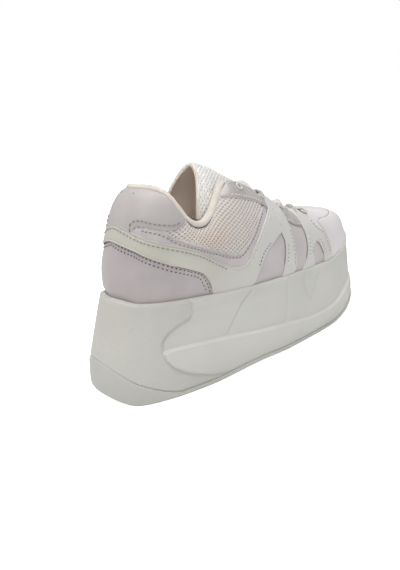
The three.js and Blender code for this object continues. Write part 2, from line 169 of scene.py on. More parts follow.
def outlineNormal(turn):
    # taken over a longer stretch round the toe, so that the lines drawn in from it stay smooth
    turn = np.asarray(turn, float)
    step = 0.004 + 0.04 * ease((aroundOf(turn) - 0.74) / 0.12)
    along = outlinePoint(turn + step) - outlinePoint(turn - step)
    return unit(np.stack([along[..., 1], -along[..., 0]], -1))


def beside(turn, out, z):
    # the outline moved out along its normal, at height z
    place = outlinePoint(turn) + outlineNormal(turn) * np.asarray(out)[..., None]
    height = np.broadcast_to(np.asarray(z, float), place.shape[:-1])
    return np.concatenate([place, height[..., None]], -1)


def soleAt(key, station):
    # one column of the sole heights at a station
    return smooth(soleHeights, "station", key, station)


def featherPoint(turn):
    # where the upper leaves the sole: the outline drawn in by the lean, the lip and the gap, at rim height
    station = outlinePoint(turn)[..., 1]
    return beside(turn, -soleAt("lean", station) - shoe["lip"] - shoe["gap"], soleAt("rim", station))


def sharpEdge(turn):
    # top edge of the upper through the ribs, x taking the sign of the side
    around = aroundOf(turn)
    side = np.where(np.mod(turn, 2) <= 1, 1, -1)
    x = side * smooth(ribs, "around", "x", around, True)
    return np.stack([x, smooth(ribs, "around", "y", around), smooth(ribs, "around", "z", around)], -1)


def topEdge(turn):
    # the edge through the ribs, rounded by a weighted mean of its neighbours
    weights = {-0.032: 0.06, -0.02: 0.14, -0.01: 0.2, 0: 0.2, 0.01: 0.2, 0.02: 0.14, 0.032: 0.06}
    turn = np.asarray(turn, float)
    return sum(weight * sharpEdge(turn + step) for step, weight in weights.items())


def upperPoint(turn, up):
    # cubic rib from the sole (up 0) to the top edge (up 1): B(t) of foot, low, high and top
    turn, up = np.broadcast_arrays(np.asarray(turn, float), np.asarray(up, float))
    around = aroundOf(turn)
    flat = outlineNormal(turn)
    out = np.concatenate([flat, np.zeros(flat.shape[:-1] + (1,))], -1)
    rise, lean, drop, reach = (
        smooth(ribs, "around", key, around)[..., None] for key in ("rise", "lean", "drop", "reach")
    )
    foot, top = featherPoint(turn), topEdge(turn)
    low = foot + out * lean + upward * rise
    high = top + out * reach - upward * drop
    t = up[..., None]
    return (1 - t)**3 * foot + 3 * (1 - t)**2 * t * low + 3 * (1 - t) * t**2 * high + t**3 * top


def upperNormal(turn, up):
    # the way forward along the skin crossed with the way up it
    along = upperPoint(turn + 0.004, up) - upperPoint(turn - 0.004, up)
    rise = upperPoint(turn, np.minimum(up + 0.01, 1)) - upperPoint(turn, up - 0.01)
    return unit(np.cross(along, rise))


# climb is the way up the skin from the sole in millimetres; this table turns it into "up"
climbGrid = {"around": np.linspace(0, 1, 241), "up": np.linspace(0, 1, 91), "climb": np.arange(0, 90, 0.5)}
ribPoints = upperPoint(climbGrid["around"][:, None], climbGrid["up"][None, :])
ribSteps = np.linalg.norm(np.diff(ribPoints, axis=1), axis=-1)
ribClimb = np.concatenate([np.zeros((len(ribPoints), 1)), np.cumsum(ribSteps, axis=1)], 1)
upTable = np.array([np.interp(climbGrid["climb"], row, climbGrid["up"]) for row in ribClimb])


def sampleGrid(grid, row, column):
    # bilinear value of a grid at fractional row and column numbers
    r = clamp(row, 0, grid.shape[0] - 1.001)
    c = clamp(column, 0, grid.shape[1] - 1.001)
    i, j = r.astype(int), c.astype(int)
    a, b = r - i, c - j
    near = (1 - a) * grid[i, j] + a * grid[i + 1, j]
    return (1 - b) * near + b * ((1 - a) * grid[i, j + 1] + a * grid[i + 1, j + 1])


def upOfClimb(turn, climb):
    # share of the rib that lies below a climb
    return sampleGrid(upTable, aroundOf(turn) * 240, climb * 2)


def ribLength(turn):
    # whole climb from the sole to the top edge
    return np.interp(aroundOf(turn), climbGrid["around"], ribClimb[:, -1])


# creases and hollows of the worn-in skin: place, half length, slant, depth (minus is a trough), half width
creases = {
    "around": [0.80, 0.72, 0.87, 0.10, 0.19, 0.33, 0.145, 0.95, 0.62],
    "climb": [50, 47, 52, 17, 12, 46, 56, 22, 26],
    "long": [17, 15, 13, 26, 22, 22, 15, 24, 14],
    "slant": [68, 74, 60, 8, -12, 30, -38, 4, 82],
    "deep": [-0.55, -0.45, 0.35, 0.7, -0.4, -0.6, -0.5, 0.45, 0.3],
    "wide": [3.6, 3.2, 3.5, 9, 6, 9, 5, 8, 6],
}


def relief(turn, climb):
    # padding under the heel tab and the collar, and the creases, as heights over the plain skin
    around = aroundOf(turn)
    top = ribLength(turn)
    padded = np.sin(np.pi * clamp((climb - 38) / (top - 38 + 1e-6))) ** 0.8
    height = (0.5 * padded - 0.1) * ease((climb - 36) / 10) * ease((0.19 - around) / 0.08)
    height = height + 1.2 * ease(climb / 5) * ease((44 - climb) / 24) * ease((0.16 - around) / 0.12)
    height = height + 1.3 * np.sin(np.pi * clamp((climb - 26) / (top - 26))) * bell(around - 0.27, 0.1)
    for k in range(len(creases["around"])):
        angle = np.radians(creases["slant"][k])
        east = (around - creases["around"][k]) * shoe["span"]
        north = climb - creases["climb"][k]
        along = east * np.cos(angle) + north * np.sin(angle)
        across = north * np.cos(angle) - east * np.sin(angle)
        depth = bell(along, creases["long"][k]) * bell(across, creases["wide"][k])
        height = height + creases["deep"][k] * depth
    return height * ease(climb / 4 + 0.2) * ease((top - climb) / 4 + 0.1)


def skinAt(turn, climb, height=0.0):
    # point of the skin at a climb, lifted along the skin's normal; below the rim it runs straight down
    turn, climb = np.broadcast_arrays(np.asarray(turn, float), np.asarray(climb, float))
    inside = np.clip(climb, 0, ribLength(turn))
    up = upOfClimb(turn, inside)
    lift = height + relief(turn, inside)
    point = upperPoint(turn, up) + upperNormal(turn, up) * np.asarray(lift)[..., None]
    # the toe box draws in above the rim, towards a point of the footbed
    drawn = 0.075 * ease((aroundOf(turn) - 0.8) / 0.12) * ease(inside / 8) * ease((56 - inside) / 26)
    point = point + (np.array([-1, 228, 0]) - point) * [1, 1, 0] * drawn[..., None]
    return point + upward * np.minimum(climb, 0)[..., None]


def onSkin(line, height=0.0, side=1):
    # points of a seam pattern laid on the skin; side -1 is the inner side
    return skinAt(side * line[..., 0] / shoe["span"], line[..., 1], height)


def skinFrame(turn, climb, height=0.0):
    # place on the skin and its outward normal
    turn, climb = np.broadcast_arrays(np.asarray(turn, float), np.asarray(climb, float))
    return skinAt(turn, climb, height), upperNormal(turn, np.minimum(upOfClimb(turn, climb), 0.995))


def toFrame(points):
    # shoe millimetres to metres of the frame: half the length comes off the station
    return (np.asarray(points, float) + [0, shoe["middle"] - shoe["length"] / 2, 0]) / 1000


def gridFaces(rows, columns, ringed=False):
    # one square for each cell of a grid of points, row by row; ringed joins the last column to the first
    r = np.arange(rows - 1)[:, None]
    c = np.arange(columns if ringed else columns - 1)[None, :]
    a, b = r * columns + c, r * columns + (c + 1) % columns
    return np.stack([a, b, b + columns, a + columns], -1).reshape(-1, 4)


def meshPiece(name, points, faces, materials, faceMaterial=None, uv=None, replaced=(), weld=0):
    # one finished piece from points in shoe millimetres; weld merges points closer than that many
    points = np.asarray(points, float).reshape(-1, 3)
    mesh = bpy.data.meshes.new(name)
    mesh.from_pydata(toFrame(points).tolist(), [], [tuple(f) for f in faces])
    for material in materials:
        mesh.materials.append(material)
    if faceMaterial is not None:
        mesh.polygons.foreach_set("material_index", np.asarray(faceMaterial, np.int32))
    if uv is not None:
        loops = np.zeros(len(mesh.loops), np.int32)
        mesh.loops.foreach_get("vertex_index", loops)
        layer = mesh.uv_layers.new(name="lay")
        layer.data.foreach_set("uv", np.asarray(uv, np.float32).reshape(-1, 2)[loops].ravel())
    mesh.polygons.foreach_set("use_smooth", np.ones(len(mesh.polygons), bool))
    piece = bpy.data.objects.new(name, mesh)
    bpy.context.scene.collection.objects.link(piece)
    if weld:
        mergeClose(mesh, weld / 1000)
    mesh.validate()
    turnOut(mesh)
    mesh.update()
    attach(piece, "root")
    if replaced:
        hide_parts(*replaced)
    return piece


def mergeClose(mesh, distance):
    # points nearer than the distance become one, and faces that fold up by it go
    merge = bmesh.new()
    merge.from_mesh(mesh)
    bmesh.ops.remove_doubles(merge, verts=merge.verts, dist=distance)
    bmesh.ops.dissolve_degenerate(merge, edges=merge.edges, dist=distance / 4)
    merge.to_mesh(mesh)
    merge.free()


def turnOut(mesh):
    # the volume of a closed mesh is the sum of p0 . (p1 x p2) / 6; below zero its faces point inwards
    mesh.calc_loop_triangles()
    corners = np.zeros(len(mesh.loop_triangles) * 3, np.int32)
    mesh.loop_triangles.foreach_get("vertices", corners)
    points = np.zeros(len(mesh.vertices) * 3)
    mesh.vertices.foreach_get("co", points)
    p = points.reshape(-1, 3)[corners.reshape(-1, 3)]
    if np.sum(p[:, 0] * np.cross(p[:, 1], p[:, 2])) < 0:
        mesh.flip_normals()


def curveThrough(knots, step=0.9):
    # smooth line through (turn, climb) knots, evenly stepped, in pattern millimetres
    line = throughKnots(np.array(knots, float) * [shoe["span"], 1], 24)
    whole = travelled(line)[-1]
    return pointsAt(line, np.linspace(0, whole, max(int(whole / step), 2) + 1))


def highAt(turn, below=0.5):
    # a knot just under the top edge of the upper
    return (turn, float(ribLength(turn)) - below)


def topRun(start, stop, below=0.4, count=7):
    # knots along the top edge
    return [highAt(t, below) for t in np.linspace(start, stop, count)]


def shifted(knots, east=0.0, north=0.0):
    # the same knots moved along and up the skin
    return [(t + east, c + north) for t, c in knots]


def mirrored(knots):
    # the same line on the inner side, as turns behind the heel
    return [(-t, c) for t, c in reversed(knots)]


def bothSides(knots):
    # a line from the middle of the heel, carried round it to the inner side
    return mirrored(knots[1:]) + knots


def overToe(knots):
    # a line that ends at the toe tip, carried on to the inner side as turns past the toe
    return knots + [(2 - t, c) for t, c in reversed(knots[:-1])]


def ringOf(curves):
    # closed outline of curves that meet at corners, counter-clockwise by the sign of its area
    ring = np.vstack([curveThrough(knots)[:-1] for knots in curves])
    nextPoint = np.roll(ring, -1, axis=0)
    area = np.sum(ring[:, 0] * nextPoint[:, 1] - nextPoint[:, 0] * ring[:, 1])
    return ring if area > 0 else ring[::-1]


def insetRing(ring, distance):
    # every point moved inwards along the mean normal of its two edges
    edge = np.roll(ring, -1, axis=0) - ring
    edge = edge / (np.linalg.norm(edge, axis=1, keepdims=True) + 1e-9)
    normal = np.stack([-edge[:, 1], edge[:, 0]], -1)
    mean = normal + np.roll(normal, 1, axis=0)
    size = np.linalg.norm(mean, axis=1, keepdims=True)
    return ring + mean / np.maximum(size, 0.9) * distance


def insideRing(points, ring):
    # even-odd rule, all points against all edges
    x, y = points[:, None, 0], points[:, None, 1]
    a, b = ring[None], np.roll(ring, -1, axis=0)[None]
    crosses = (a[..., 1] > y) != (b[..., 1] > y)
    reach = (b[..., 0] - a[..., 0]) * (y - a[..., 1]) / (b[..., 1] - a[..., 1] + 1e-12) + a[..., 0]
    return (np.sum(crosses & (x < reach), axis=1) % 2).astype(bool)


panel = {"spacing": 2.2, "sunk": 0.5, "crown": 5.0}  # inner points apart, depth let into the skin, crown's run


def cutPanel(name, curves, material, side=1, thick=1.1, puff=0.0):
    # a panel cut from sheet: an outline let into the skin, an edge rounded over in three rings, and a lid
    # filled with triangles that stands thick + puff (1 - e^(-d / crown)) high, d from the edge
    ring = ringOf(curves)
    edge, count = insetRing(ring, 0.8), len(ring)
    low, high = ring.min(0), ring.max(0)
    columns, rows = (np.arange(low[k], high[k], panel["spacing"]) for k in (0, 1))
    inner = np.stack(np.meshgrid(columns, rows), -1).reshape(-1, 2)
    inner = inner[insideRing(inner, insetRing(ring, 1.6))]
    borders = [(i, (i + 1) % count) for i in range(count)]
    made = delaunay_2d_cdt(np.vstack([edge, inner]).tolist(), borders, [], 0, 1e-5)
    flat, faces = np.array([list(v) for v in made[0]]), np.array(made[2], int)
    faces = faces[insideRing(flat[faces].mean(axis=1), edge)]
    # the filling may number the points of the edge anew
    newPlace = {ids[0]: k for k, ids in enumerate(made[3]) if ids}
    edgeIds = np.array([newPlace[i] for i in range(count)])
    depth = np.min(np.linalg.norm(flat[:, None] - ring[None, ::3], axis=-1), axis=1)
    points = np.vstack([onSkin(ring, -panel["sunk"], side), onSkin(ring, 0.5 * thick, side),
                        onSkin(insetRing(ring, 0.28), 0.88 * thick, side),
                        onSkin(flat, thick + puff * (1 - np.exp(-depth / panel["crown"])), side),
                        onSkin(flat, -panel["sunk"], side)])
    lidStart, bottomStart = 3 * count, 3 * count + len(flat)
    i = np.arange(count)
    j = (i + 1) % count
    loops = [edgeIds + bottomStart, i, i + count, i + 2 * count, edgeIds + lidStart]
    groups = [np.stack([a[i], a[j], b[j], b[i]], -1) for a, b in zip(loops[:-1], loops[1:])]
    groups += [faces + lidStart, faces[:, ::-1] + bottomStart]
    return meshPiece(name, points, [f for group in groups for f in group.tolist()], [material])


def tangentsOf(path):
    # central differences along the path, at length one
    return unit(np.gradient(path, axis=0))


def sweep(name, path, up, wide, high, material, slotName, corners=12, power=1.0, replaced=()):
    # oval carried along a path, place + wide cos(a) side + high sin(a) top, its ends drawn to a point;
    # a power of the cosine and sine under 1 makes the oval squarer
    tangent = tangentsOf(path)
    side = unit(np.cross(tangent, up))
    top = np.cross(side, tangent)
    angle = np.arange(corners) * 2 * np.pi / corners
    c, s = (np.sign(v) * np.abs(v) ** power for v in (np.cos(angle), np.sin(angle)))
    wide, high = (np.broadcast_to(v, len(path))[:, None, None] for v in (wide, high))
    rings = path[:, None] + side[:, None] * c[None, :, None] * wide + top[:, None] * s[None, :, None] * high
    points = np.vstack([rings.reshape(-1, 3), path[0] - tangent[0] * 0.3, path[-1] + tangent[-1] * 0.3])
    tip, start = len(points) - 2, len(points) - 2 - corners
    k = np.arange(corners)
    n = (k + 1) % corners
    faces = gridFaces(len(path), corners, ringed=True)[:, ::-1].tolist()
    faces += np.stack([np.full(corners, tip), k, n], -1).tolist()
    faces += np.stack([np.full(corners, tip + 1), n + start, k + start], -1).tolist()
    girth = angle[None, :] / np.pi * (wide[:, 0] + high[:, 0]) / 1000
    uv = np.stack(np.broadcast_arrays(girth, travelled(path)[:, None] / 1000), -1).reshape(-1, 2)
    return meshPiece(name, points, faces, [material], uv=np.vstack([uv, uv[:1], uv[-1:]]),
                     replaced=replaced)


def colour(text):
    # sRGB hex to linear: v / 12.92 near black, ((v + 0.055) / 1.055)^2.4 above
    srgb = np.array([int(text[i:i + 2], 16) for i in (1, 3, 5)]) / 255
    linear = np.where(srgb <= 0.04045, srgb / 12.92, ((srgb + 0.055) / 1.055) ** 2.4)
    return (*linear.tolist(), 1.0)


def node(tree, kind, settings=None, links=None):
    # adds a node; settings are its properties, sockets or ramp stops, and links are what feeds its inputs
    made = tree.nodes.new("ShaderNode" + kind)
    for key, value in (settings or {}).items():
        if key == "stops":
            for element, (place, tone) in zip(made.color_ramp.elements, value):
                element.position, element.color = place, tone
        elif isinstance(key, str) and hasattr(made, key):
            setattr(made, key, value)
        else:
            made.inputs[key].default_value = value
    join(tree, made, links or {})
    return made


def join(tree, made, links):
    # feeds inputs, given by name or number
    for key, source in links.items():
        tree.links.new(source, made.inputs[key])


def newMaterial(name, settings):
    # a material with the fixed values on its shader's own sockets
    material = bpy.data.materials.new(name)
    material.use_nodes = True
    shader = material.node_tree.nodes["Principled BSDF"]
    for key, value in settings.items():
        shader.inputs[key].default_value = value
    return material, material.node_tree, shader


def leather(name, light, dark, rough=(0.34, 0.5), grain=0.55, coat=0.12, cloudy=18, ripple=(0.4, 0.22),
            paintedLightTone=None, paintedLightFrom=(-0.09, -0.02)):
    # coated split leather, rolled smooth: fine pebble grain about half a millimetre wide under a thin
    # polyurethane film, so a soft satin gloss that breaks up a little and slow clouds in the dye
    material, tree, shader = newMaterial(name, {"IOR": 1.5, "Coat Weight": coat, "Coat Roughness": 0.32})
    place = node(tree, "TexCoord").outputs["Object"]
    cloud = node(tree, "TexNoise", {"Scale": 1000 / cloudy, "Detail": 3.0}, {"Vector": place}).outputs["Fac"]
    tone = node(tree, "ValToRGB", {"stops": [(0.35, colour(dark)), (0.68, colour(light))]},
                {"Fac": cloud}).outputs["Color"]
    if paintedLightTone:
        # painted light: the tone slides along the shoe from the heel's to a lighter one at the front, a highlight
        # where the light falls on the vamp
        apart = node(tree, "SeparateXYZ", links={"Vector": place}).outputs["Y"]
        share = node(tree, "MapRange", {"From Min": paintedLightFrom[0], "From Max": paintedLightFrom[1]},
                     {"Value": apart}).outputs["Result"]
        tone = node(tree, "Mix", {"data_type": "RGBA", 7: colour(paintedLightTone)}, {0: share, 6: tone}).outputs[2]
    pebble = node(tree, "TexVoronoi", {"Scale": 1000 / grain, "feature": "SMOOTH_F1"}, {"Vector": place})
    wrinkle = node(tree, "TexNoise", {"Scale": 1000 / 9, "Detail": 2.0}, {"Vector": place})
    fine = node(tree, "Bump", {"Distance": 0.00008, "Strength": 0.5},
                {"Height": pebble.outputs["Distance"]})
    broad = node(tree, "Bump", {"Distance": ripple[0] / 1000, "Strength": ripple[1]},
                 {"Height": wrinkle.outputs["Fac"], "Normal": fine.outputs["Normal"]})
    gloss = node(tree, "MapRange", {"To Min": rough[0], "To Max": rough[1]}, {"Value": cloud})
    join(tree, shader, {"Base Color": tone, "Normal": broad.outputs["Normal"],
                        "Roughness": gloss.outputs["Result"]})
    return material


def foam(name, light, dark, grit, strength, rough=(0.5, 0.62)):
    # injection-moulded EVA: closed-cell foam with a dull skin; grit is the blast texture of the mould
    material, tree, shader = newMaterial(name, {"IOR": 1.48, "Subsurface Weight": 0.06, "Subsurface Scale": 0.002})
    place = node(tree, "TexCoord").outputs["Object"]
    cloud = node(tree, "TexNoise", {"Scale": 22.0, "Detail": 2.0}, {"Vector": place}).outputs["Fac"]
    tone = node(tree, "ValToRGB", {"stops": [(0.3, colour(dark)), (0.72, colour(light))]}, {"Fac": cloud})
    grains = node(tree, "TexNoise", {"Scale": 1000 / grit, "Detail": 4.0}, {"Vector": place})
    blast = node(tree, "Bump", {"Distance": 0.0006, "Strength": strength}, {"Height": grains.outputs["Fac"]})
    gloss = node(tree, "MapRange", {"To Min": rough[0], "To Max": rough[1]}, {"Value": cloud})
    join(tree, shader, {"Base Color": tone.outputs["Color"], "Normal": blast.outputs["Normal"],
                        "Roughness": gloss.outputs["Result"]})
    return material


def cloth(name, light, dark, thread, strength=0.6, useUv=False):
    # woven polyester tape or lining: two crossing rows of threads, "thread" apart in millimetres
    material, tree, shader = newMaterial(name, {"IOR": 1.46, "Sheen Weight": 0.25, "Sheen Roughness": 0.5})
    place = node(tree, "TexCoord").outputs["UV" if useUv else "Object"]
    rows = [node(tree, "TexWave", {"Scale": 1000 / thread / 6.283, "bands_direction": way,
                                             "Distortion": 0.6}, {"Vector": place}).outputs["Fac"]
            for way in ("DIAGONAL", "Y")]
    weave = node(tree, "Math", {"operation": "MULTIPLY"}, {0: rows[0], 1: rows[1]})
    cloud = node(tree, "TexNoise", {"Scale": 60.0, "Detail": 3.0}, {"Vector": place}).outputs["Fac"]
    tone = node(tree, "ValToRGB", {"stops": [(0.3, colour(dark)), (0.7, colour(light))]}, {"Fac": cloud})
    raised = node(tree, "Bump", {"Distance": 0.00025, "Strength": strength}, {"Height": weave.outputs["Value"]})
    dull = node(tree, "MapRange", {"To Min": 0.72, "To Max": 0.88}, {"Value": cloud})
    join(tree, shader, {"Base Color": tone.outputs["Color"], "Normal": raised.outputs["Normal"],
                        "Roughness": dull.outputs["Result"]})
    return material


def meshCloth(name, light, dark, warm):
    # warp-knit spacer mesh: raised diamonds with open holes between them, painted darker for the shade
    # that lies in them; the holes are in the attribute "weave", and the thin spot over the foam shows a warmer tone
    # ("glow")
    material, tree, shader = newMaterial(name, {"IOR": 1.46, "Sheen Weight": 0.3, "Sheen Roughness": 0.45,
                                                "Roughness": 0.8})
    weave, glow = (node(tree, "Attribute", {"attribute_name": word}).outputs["Fac"]
                   for word in ("weave", "glow"))
    # painted shade: the knit's holes take the dark tone, the raised diamonds the light one
    knit = node(tree, "ValToRGB", {"stops": [(0.12, colour(dark)), (0.75, colour(light))]}, {"Fac": weave})
    tone = node(tree, "Mix", {"data_type": "RGBA", "blend_type": "MULTIPLY", 7: colour(warm)},
                {0: glow, 6: knit.outputs["Color"]})
    place = node(tree, "TexCoord").outputs["Object"]
    fuzz = node(tree, "TexNoise", {"Scale": 1000 / 0.5, "Detail": 2.0}, {"Vector": place})
    raised = node(tree, "Bump", {"Distance": 0.0002, "Strength": 0.3}, {"Height": fuzz.outputs["Fac"]})
    join(tree, shader, {"Base Color": tone.outputs[2], "Normal": raised.outputs["Normal"]})
    return material


def tongueKnit(name, light, dark, pitch=2.8):
    # the same knit as the side mesh, as a pattern on the tongue's own map in metres:
    # the higher of sin^2(pi (u + v) / pitch) and sin^2(pi (u - v) / pitch)
    material, tree, shader = newMaterial(name, {"IOR": 1.46, "Sheen Weight": 0.3, "Roughness": 0.8})
    place = node(tree, "TexCoord").outputs["UV"]
    parts = node(tree, "SeparateXYZ", links={"Vector": place}).outputs
    rows = []
    for way in ("ADD", "SUBTRACT"):
        both = node(tree, "Math", {"operation": way}, {0: parts["X"], 1: parts["Y"]})
        turned = node(tree, "Math", {"operation": "MULTIPLY", 1: np.pi / pitch * 1000}, {0: both.outputs[0]})
        sine = node(tree, "Math", {"operation": "SINE"}, {0: turned.outputs[0]}).outputs[0]
        rows.append(node(tree, "Math", {"operation": "MULTIPLY"}, {0: sine, 1: sine}).outputs[0])
    knit = node(tree, "Math", {"operation": "MAXIMUM"}, {0: rows[0], 1: rows[1]}).outputs[0]
    # painted shade: the troughs between the knit's ridges take the dark tone
    tone = node(tree, "ValToRGB", {"stops": [(0.2, colour(dark)), (0.8, colour(light))]}, {"Fac": knit})
    raised = node(tree, "Bump", {"Distance": 0.0006, "Strength": 0.8}, {"Height": knit})
    join(tree, shader, {"Base Color": tone.outputs["Color"], "Normal": raised.outputs["Normal"]})
    return material


def plain(name, text, rough):
    # lacquered or waxed small parts, and flat dark marks that paint the shade in holes and along seams:
    # one tone broken up by a faint cloud, smooth to the touch
    material, tree, shader = newMaterial(name, {"IOR": 1.5})
    place = node(tree, "TexCoord").outputs["Object"]
    cloud = node(tree, "TexNoise", {"Scale": 400.0, "Detail": 2.0}, {"Vector": place}).outputs["Fac"]
    light = colour(text)
    dark = tuple(v * 0.9 for v in light[:3]) + (1.0,)
    tone = node(tree, "ValToRGB", {"stops": [(0.3, dark), (0.7, light)]}, {"Fac": cloud})
    gloss = node(tree, "MapRange", {"To Min": rough, "To Max": rough + 0.1}, {"Value": cloud})
    join(tree, shader, {"Base Color": tone.outputs["Color"], "Roughness": gloss.outputs["Result"]})
    return material


mats = {
    # the lavender and cream leathers get lighter towards the toe: painted light on the vamp
    "skin": leather("lavenderLeather", "#cbc3c3", "#c2babb", paintedLightTone="#f4eff0", paintedLightFrom=(0.0, 0.085)),
    "tab": leather("satinTabLeather", "#cac5c3", "#c1bbba", rough=(0.38, 0.5), coat=0.1),
    "strip": leather("greyLavenderLeather", "#dad3d4", "#cfc8ca", rough=(0.42, 0.55)),
    "cream": leather("creamLeather", "#d8d7cc", "#cfcdc1", rough=(0.36, 0.5), cloudy=26, paintedLightTone="#e0dfdb"),
    "pearl": leather("pearlPatent", "#cbc6c4", "#bcb6b5", rough=(0.14, 0.28), grain=1.1, coat=0.6,
                     ripple=(1.8, 0.9)),
    "sole": foam("mouldedFoam", "#e0dfd9", "#d9d9d2", 0.5, 0.12),
    "blast": foam("blastedFoam", "#d9d8d1", "#cfcec6", 1.1, 0.8),
    "tread": foam("treadRubber", "#d2d2cc", "#c8c8c1", 0.7, 0.4, rough=(0.55, 0.7)),
    "lining": cloth("brushedLining", "#faeee4", "#f0e2d6", 0.8, 0.35),
    "binding": cloth("bindingTape", "#eae2da", "#ded5cb", 0.9, 0.5),
    "mesh": meshCloth("knitMesh", "#e7e1dc", "#c0b8b2", "#fdf4ec"),
    "tongue": tongueKnit("tongueMesh", "#fcfaf8", "#dcd6d3"),
    "cord": cloth("laceCotton", "#e8e7e1", "#d8d7d0", 1.0, 0.9, useUv=True),
    "ring": plain("eyeletLacquer", "#e4e2de", 0.2),
    "thread": plain("waxedThread", "#f4f2ec", 0.55),
    # grey stitches, and painted shadow lines along the seams and in the needle holes
    "grey": plain("greyThreadAndPaintedShade", "#a19899", 0.6),
    # dark stitches, and painted shade in the needle holes and the eyelet holes
    "darkThreadAndHoleShade": plain("darkThreadAndPaintedHoleShade", "#6c6368", 0.8),
}
print("materials made:", len(mats))


tread = {  # the outsole
    "heelBevel": (14, 4.2),  # length, height
    "heelWrap": (38, 18.8, 1.3), "toeWrap": (225, 7.4, 2),  # length or start, height, power
    "arch": (56, 150, 2.2), "spring": (212, 21.3, 2.1),
    "edge": 3.2, "proud": 1.4, "floor": 2.6, "tray": 4.0, "round": 1.9, "lip": 1.1,
    "columns": 720, "heel": (24, 62, 12.5, 0), "ball": (150, 215, 13, 9),  # grooves: start, stop, pitch, bend
    "width": 3.4, "depth": 1.5,
}


def treadHeight(station):
    # under side over the ground: (1 - s)^2 at the heel, sin^2 in the arch, s^power at the toe
    bevel = tread["heelBevel"][1] * clamp(1 - station / tread["heelBevel"][0]) ** 2
    start, stop, deep = tread["arch"]
    hollow = deep * np.sin(np.pi * clamp((station - start) / (stop - start))) ** 2
    start, high, curve = tread["spring"]
    return bevel + hollow + high * clamp((station - start) / (shoe["length"] - start)) ** curve


def outsoleLine(station):
    # top of the outsole: its edge over the tread, turned up at heel and toe
    long, high, curve = tread["heelWrap"]
    heel = high * clamp(1 - station / long) ** curve
    start, high, curve = tread["toeWrap"]
    toe = high * clamp((station - start) / (shoe["length"] - start)) ** curve
    return treadHeight(station) + tread["edge"] + heel + toe


def stackRings(name, rings, materials, replaced, faceMaterial=None, capTop=True, capBottom=True):
    # rings carried from below upwards, closed by strips across the shoe
    rings = np.stack(rings)
    rows, count = rings.shape[:2]
    i = np.arange(count // 2)
    cap = np.stack([i, i + 1, (count - i - 1) % count, (count - i) % count], -1)
    groups = [gridFaces(rows, count, ringed=True)]
    groups += [cap[:, ::-1]] * capBottom + [cap + (rows - 1) * count] * capTop
    faces = [tuple(dict.fromkeys(f)) for group in groups for f in group.tolist()]
    if faceMaterial is not None:
        rest = len(faces) - faceMaterial.size
        faceMaterial = np.concatenate([faceMaterial.ravel(), np.full(rest, faceMaterial.flat[0])])
    return meshPiece(name, rings, faces, materials, faceMaterial=faceMaterial, replaced=replaced)


def soleTurns(count):
    # columns of the sole rings, t (0.72 + 0.28 |t|^1.2): closer together at the heel, where the wave runs
    t = np.linspace(-1, 1, count, endpoint=False)
    return np.sign(t) * (0.72 * np.abs(t) + 0.28 * np.abs(t) ** 2.2)


# the wave: the edge between the proud heel block and the two long panels, as around by height
wave = {
    "height": [4, 7.7, 11.8, 15.7, 21.2, 26.5, 30.4, 36, 39.3, 42.3, 45.5, 48, 49.7, 53, 57.7, 62],
    "around": [.30, .241, .209, .184, .163, .151, .147, .147, .151, .158, .173, .191, .207, .214, .212, .209],
}
creaseLine = {  # top of the side band
    "around": [0, .149, .175, .224, .305, .412, .5, .603, .685, .755, .804, .857, .92, 1],
    "height": [30, 30.4, 31.1, 30.4, 28.5, 23.9, 20.8, 16.9, 16.1, 18.4, 23.2, 32.3, 40, 43],
}
cuts = [  # fine engraved lines of the upper panel: (around, height) from the rim down
    [(0.392, 62), (0.349, 49.7), (0.323, 39.8), (0.301, 30.5)],
    [(0.512, 60), (0.514, 41.2), (0.511, 30.5), (0.505, 22.5)],
    [(0.580, 61), (0.598, 42.6), (0.612, 31.5)],
    [(0.672, 60), (0.649, 46.9), (0.632, 36.5), (0.612, 31.5)],
]
band = {  # the midsole's side, out from its plain slope
    "proud": 1.0, "swell": 0.9, "recess": 1.7, "step": 1.5, "block": 0.35,
    "share": 0.36,  # of the rows that lie under the crease
    "groove": (1.1, 0.8), "cut": (1.0, 0.8),  # depth, half width
    "rimRound": 2.2, "rimDrop": 1.5, "seam": 0.35, "columns": 960, "rows": 84,
}


def panelShare(around, z):
    # how far a point lies in front of the wave, 0 to 1, over a short slope: the distance along the sole
    # edge over the square root of 1 + slope^2
    edge = np.interp(z, wave["height"], wave["around"]) * shoe["span"]
    slope = (np.interp(z + 0.6, wave["height"], wave["around"]) * shoe["span"] - edge) / 0.6
    past = (around * shoe["span"] - edge) / np.sqrt(1 + slope ** 2)
    return ease(past / 1.6 + 0.5), past


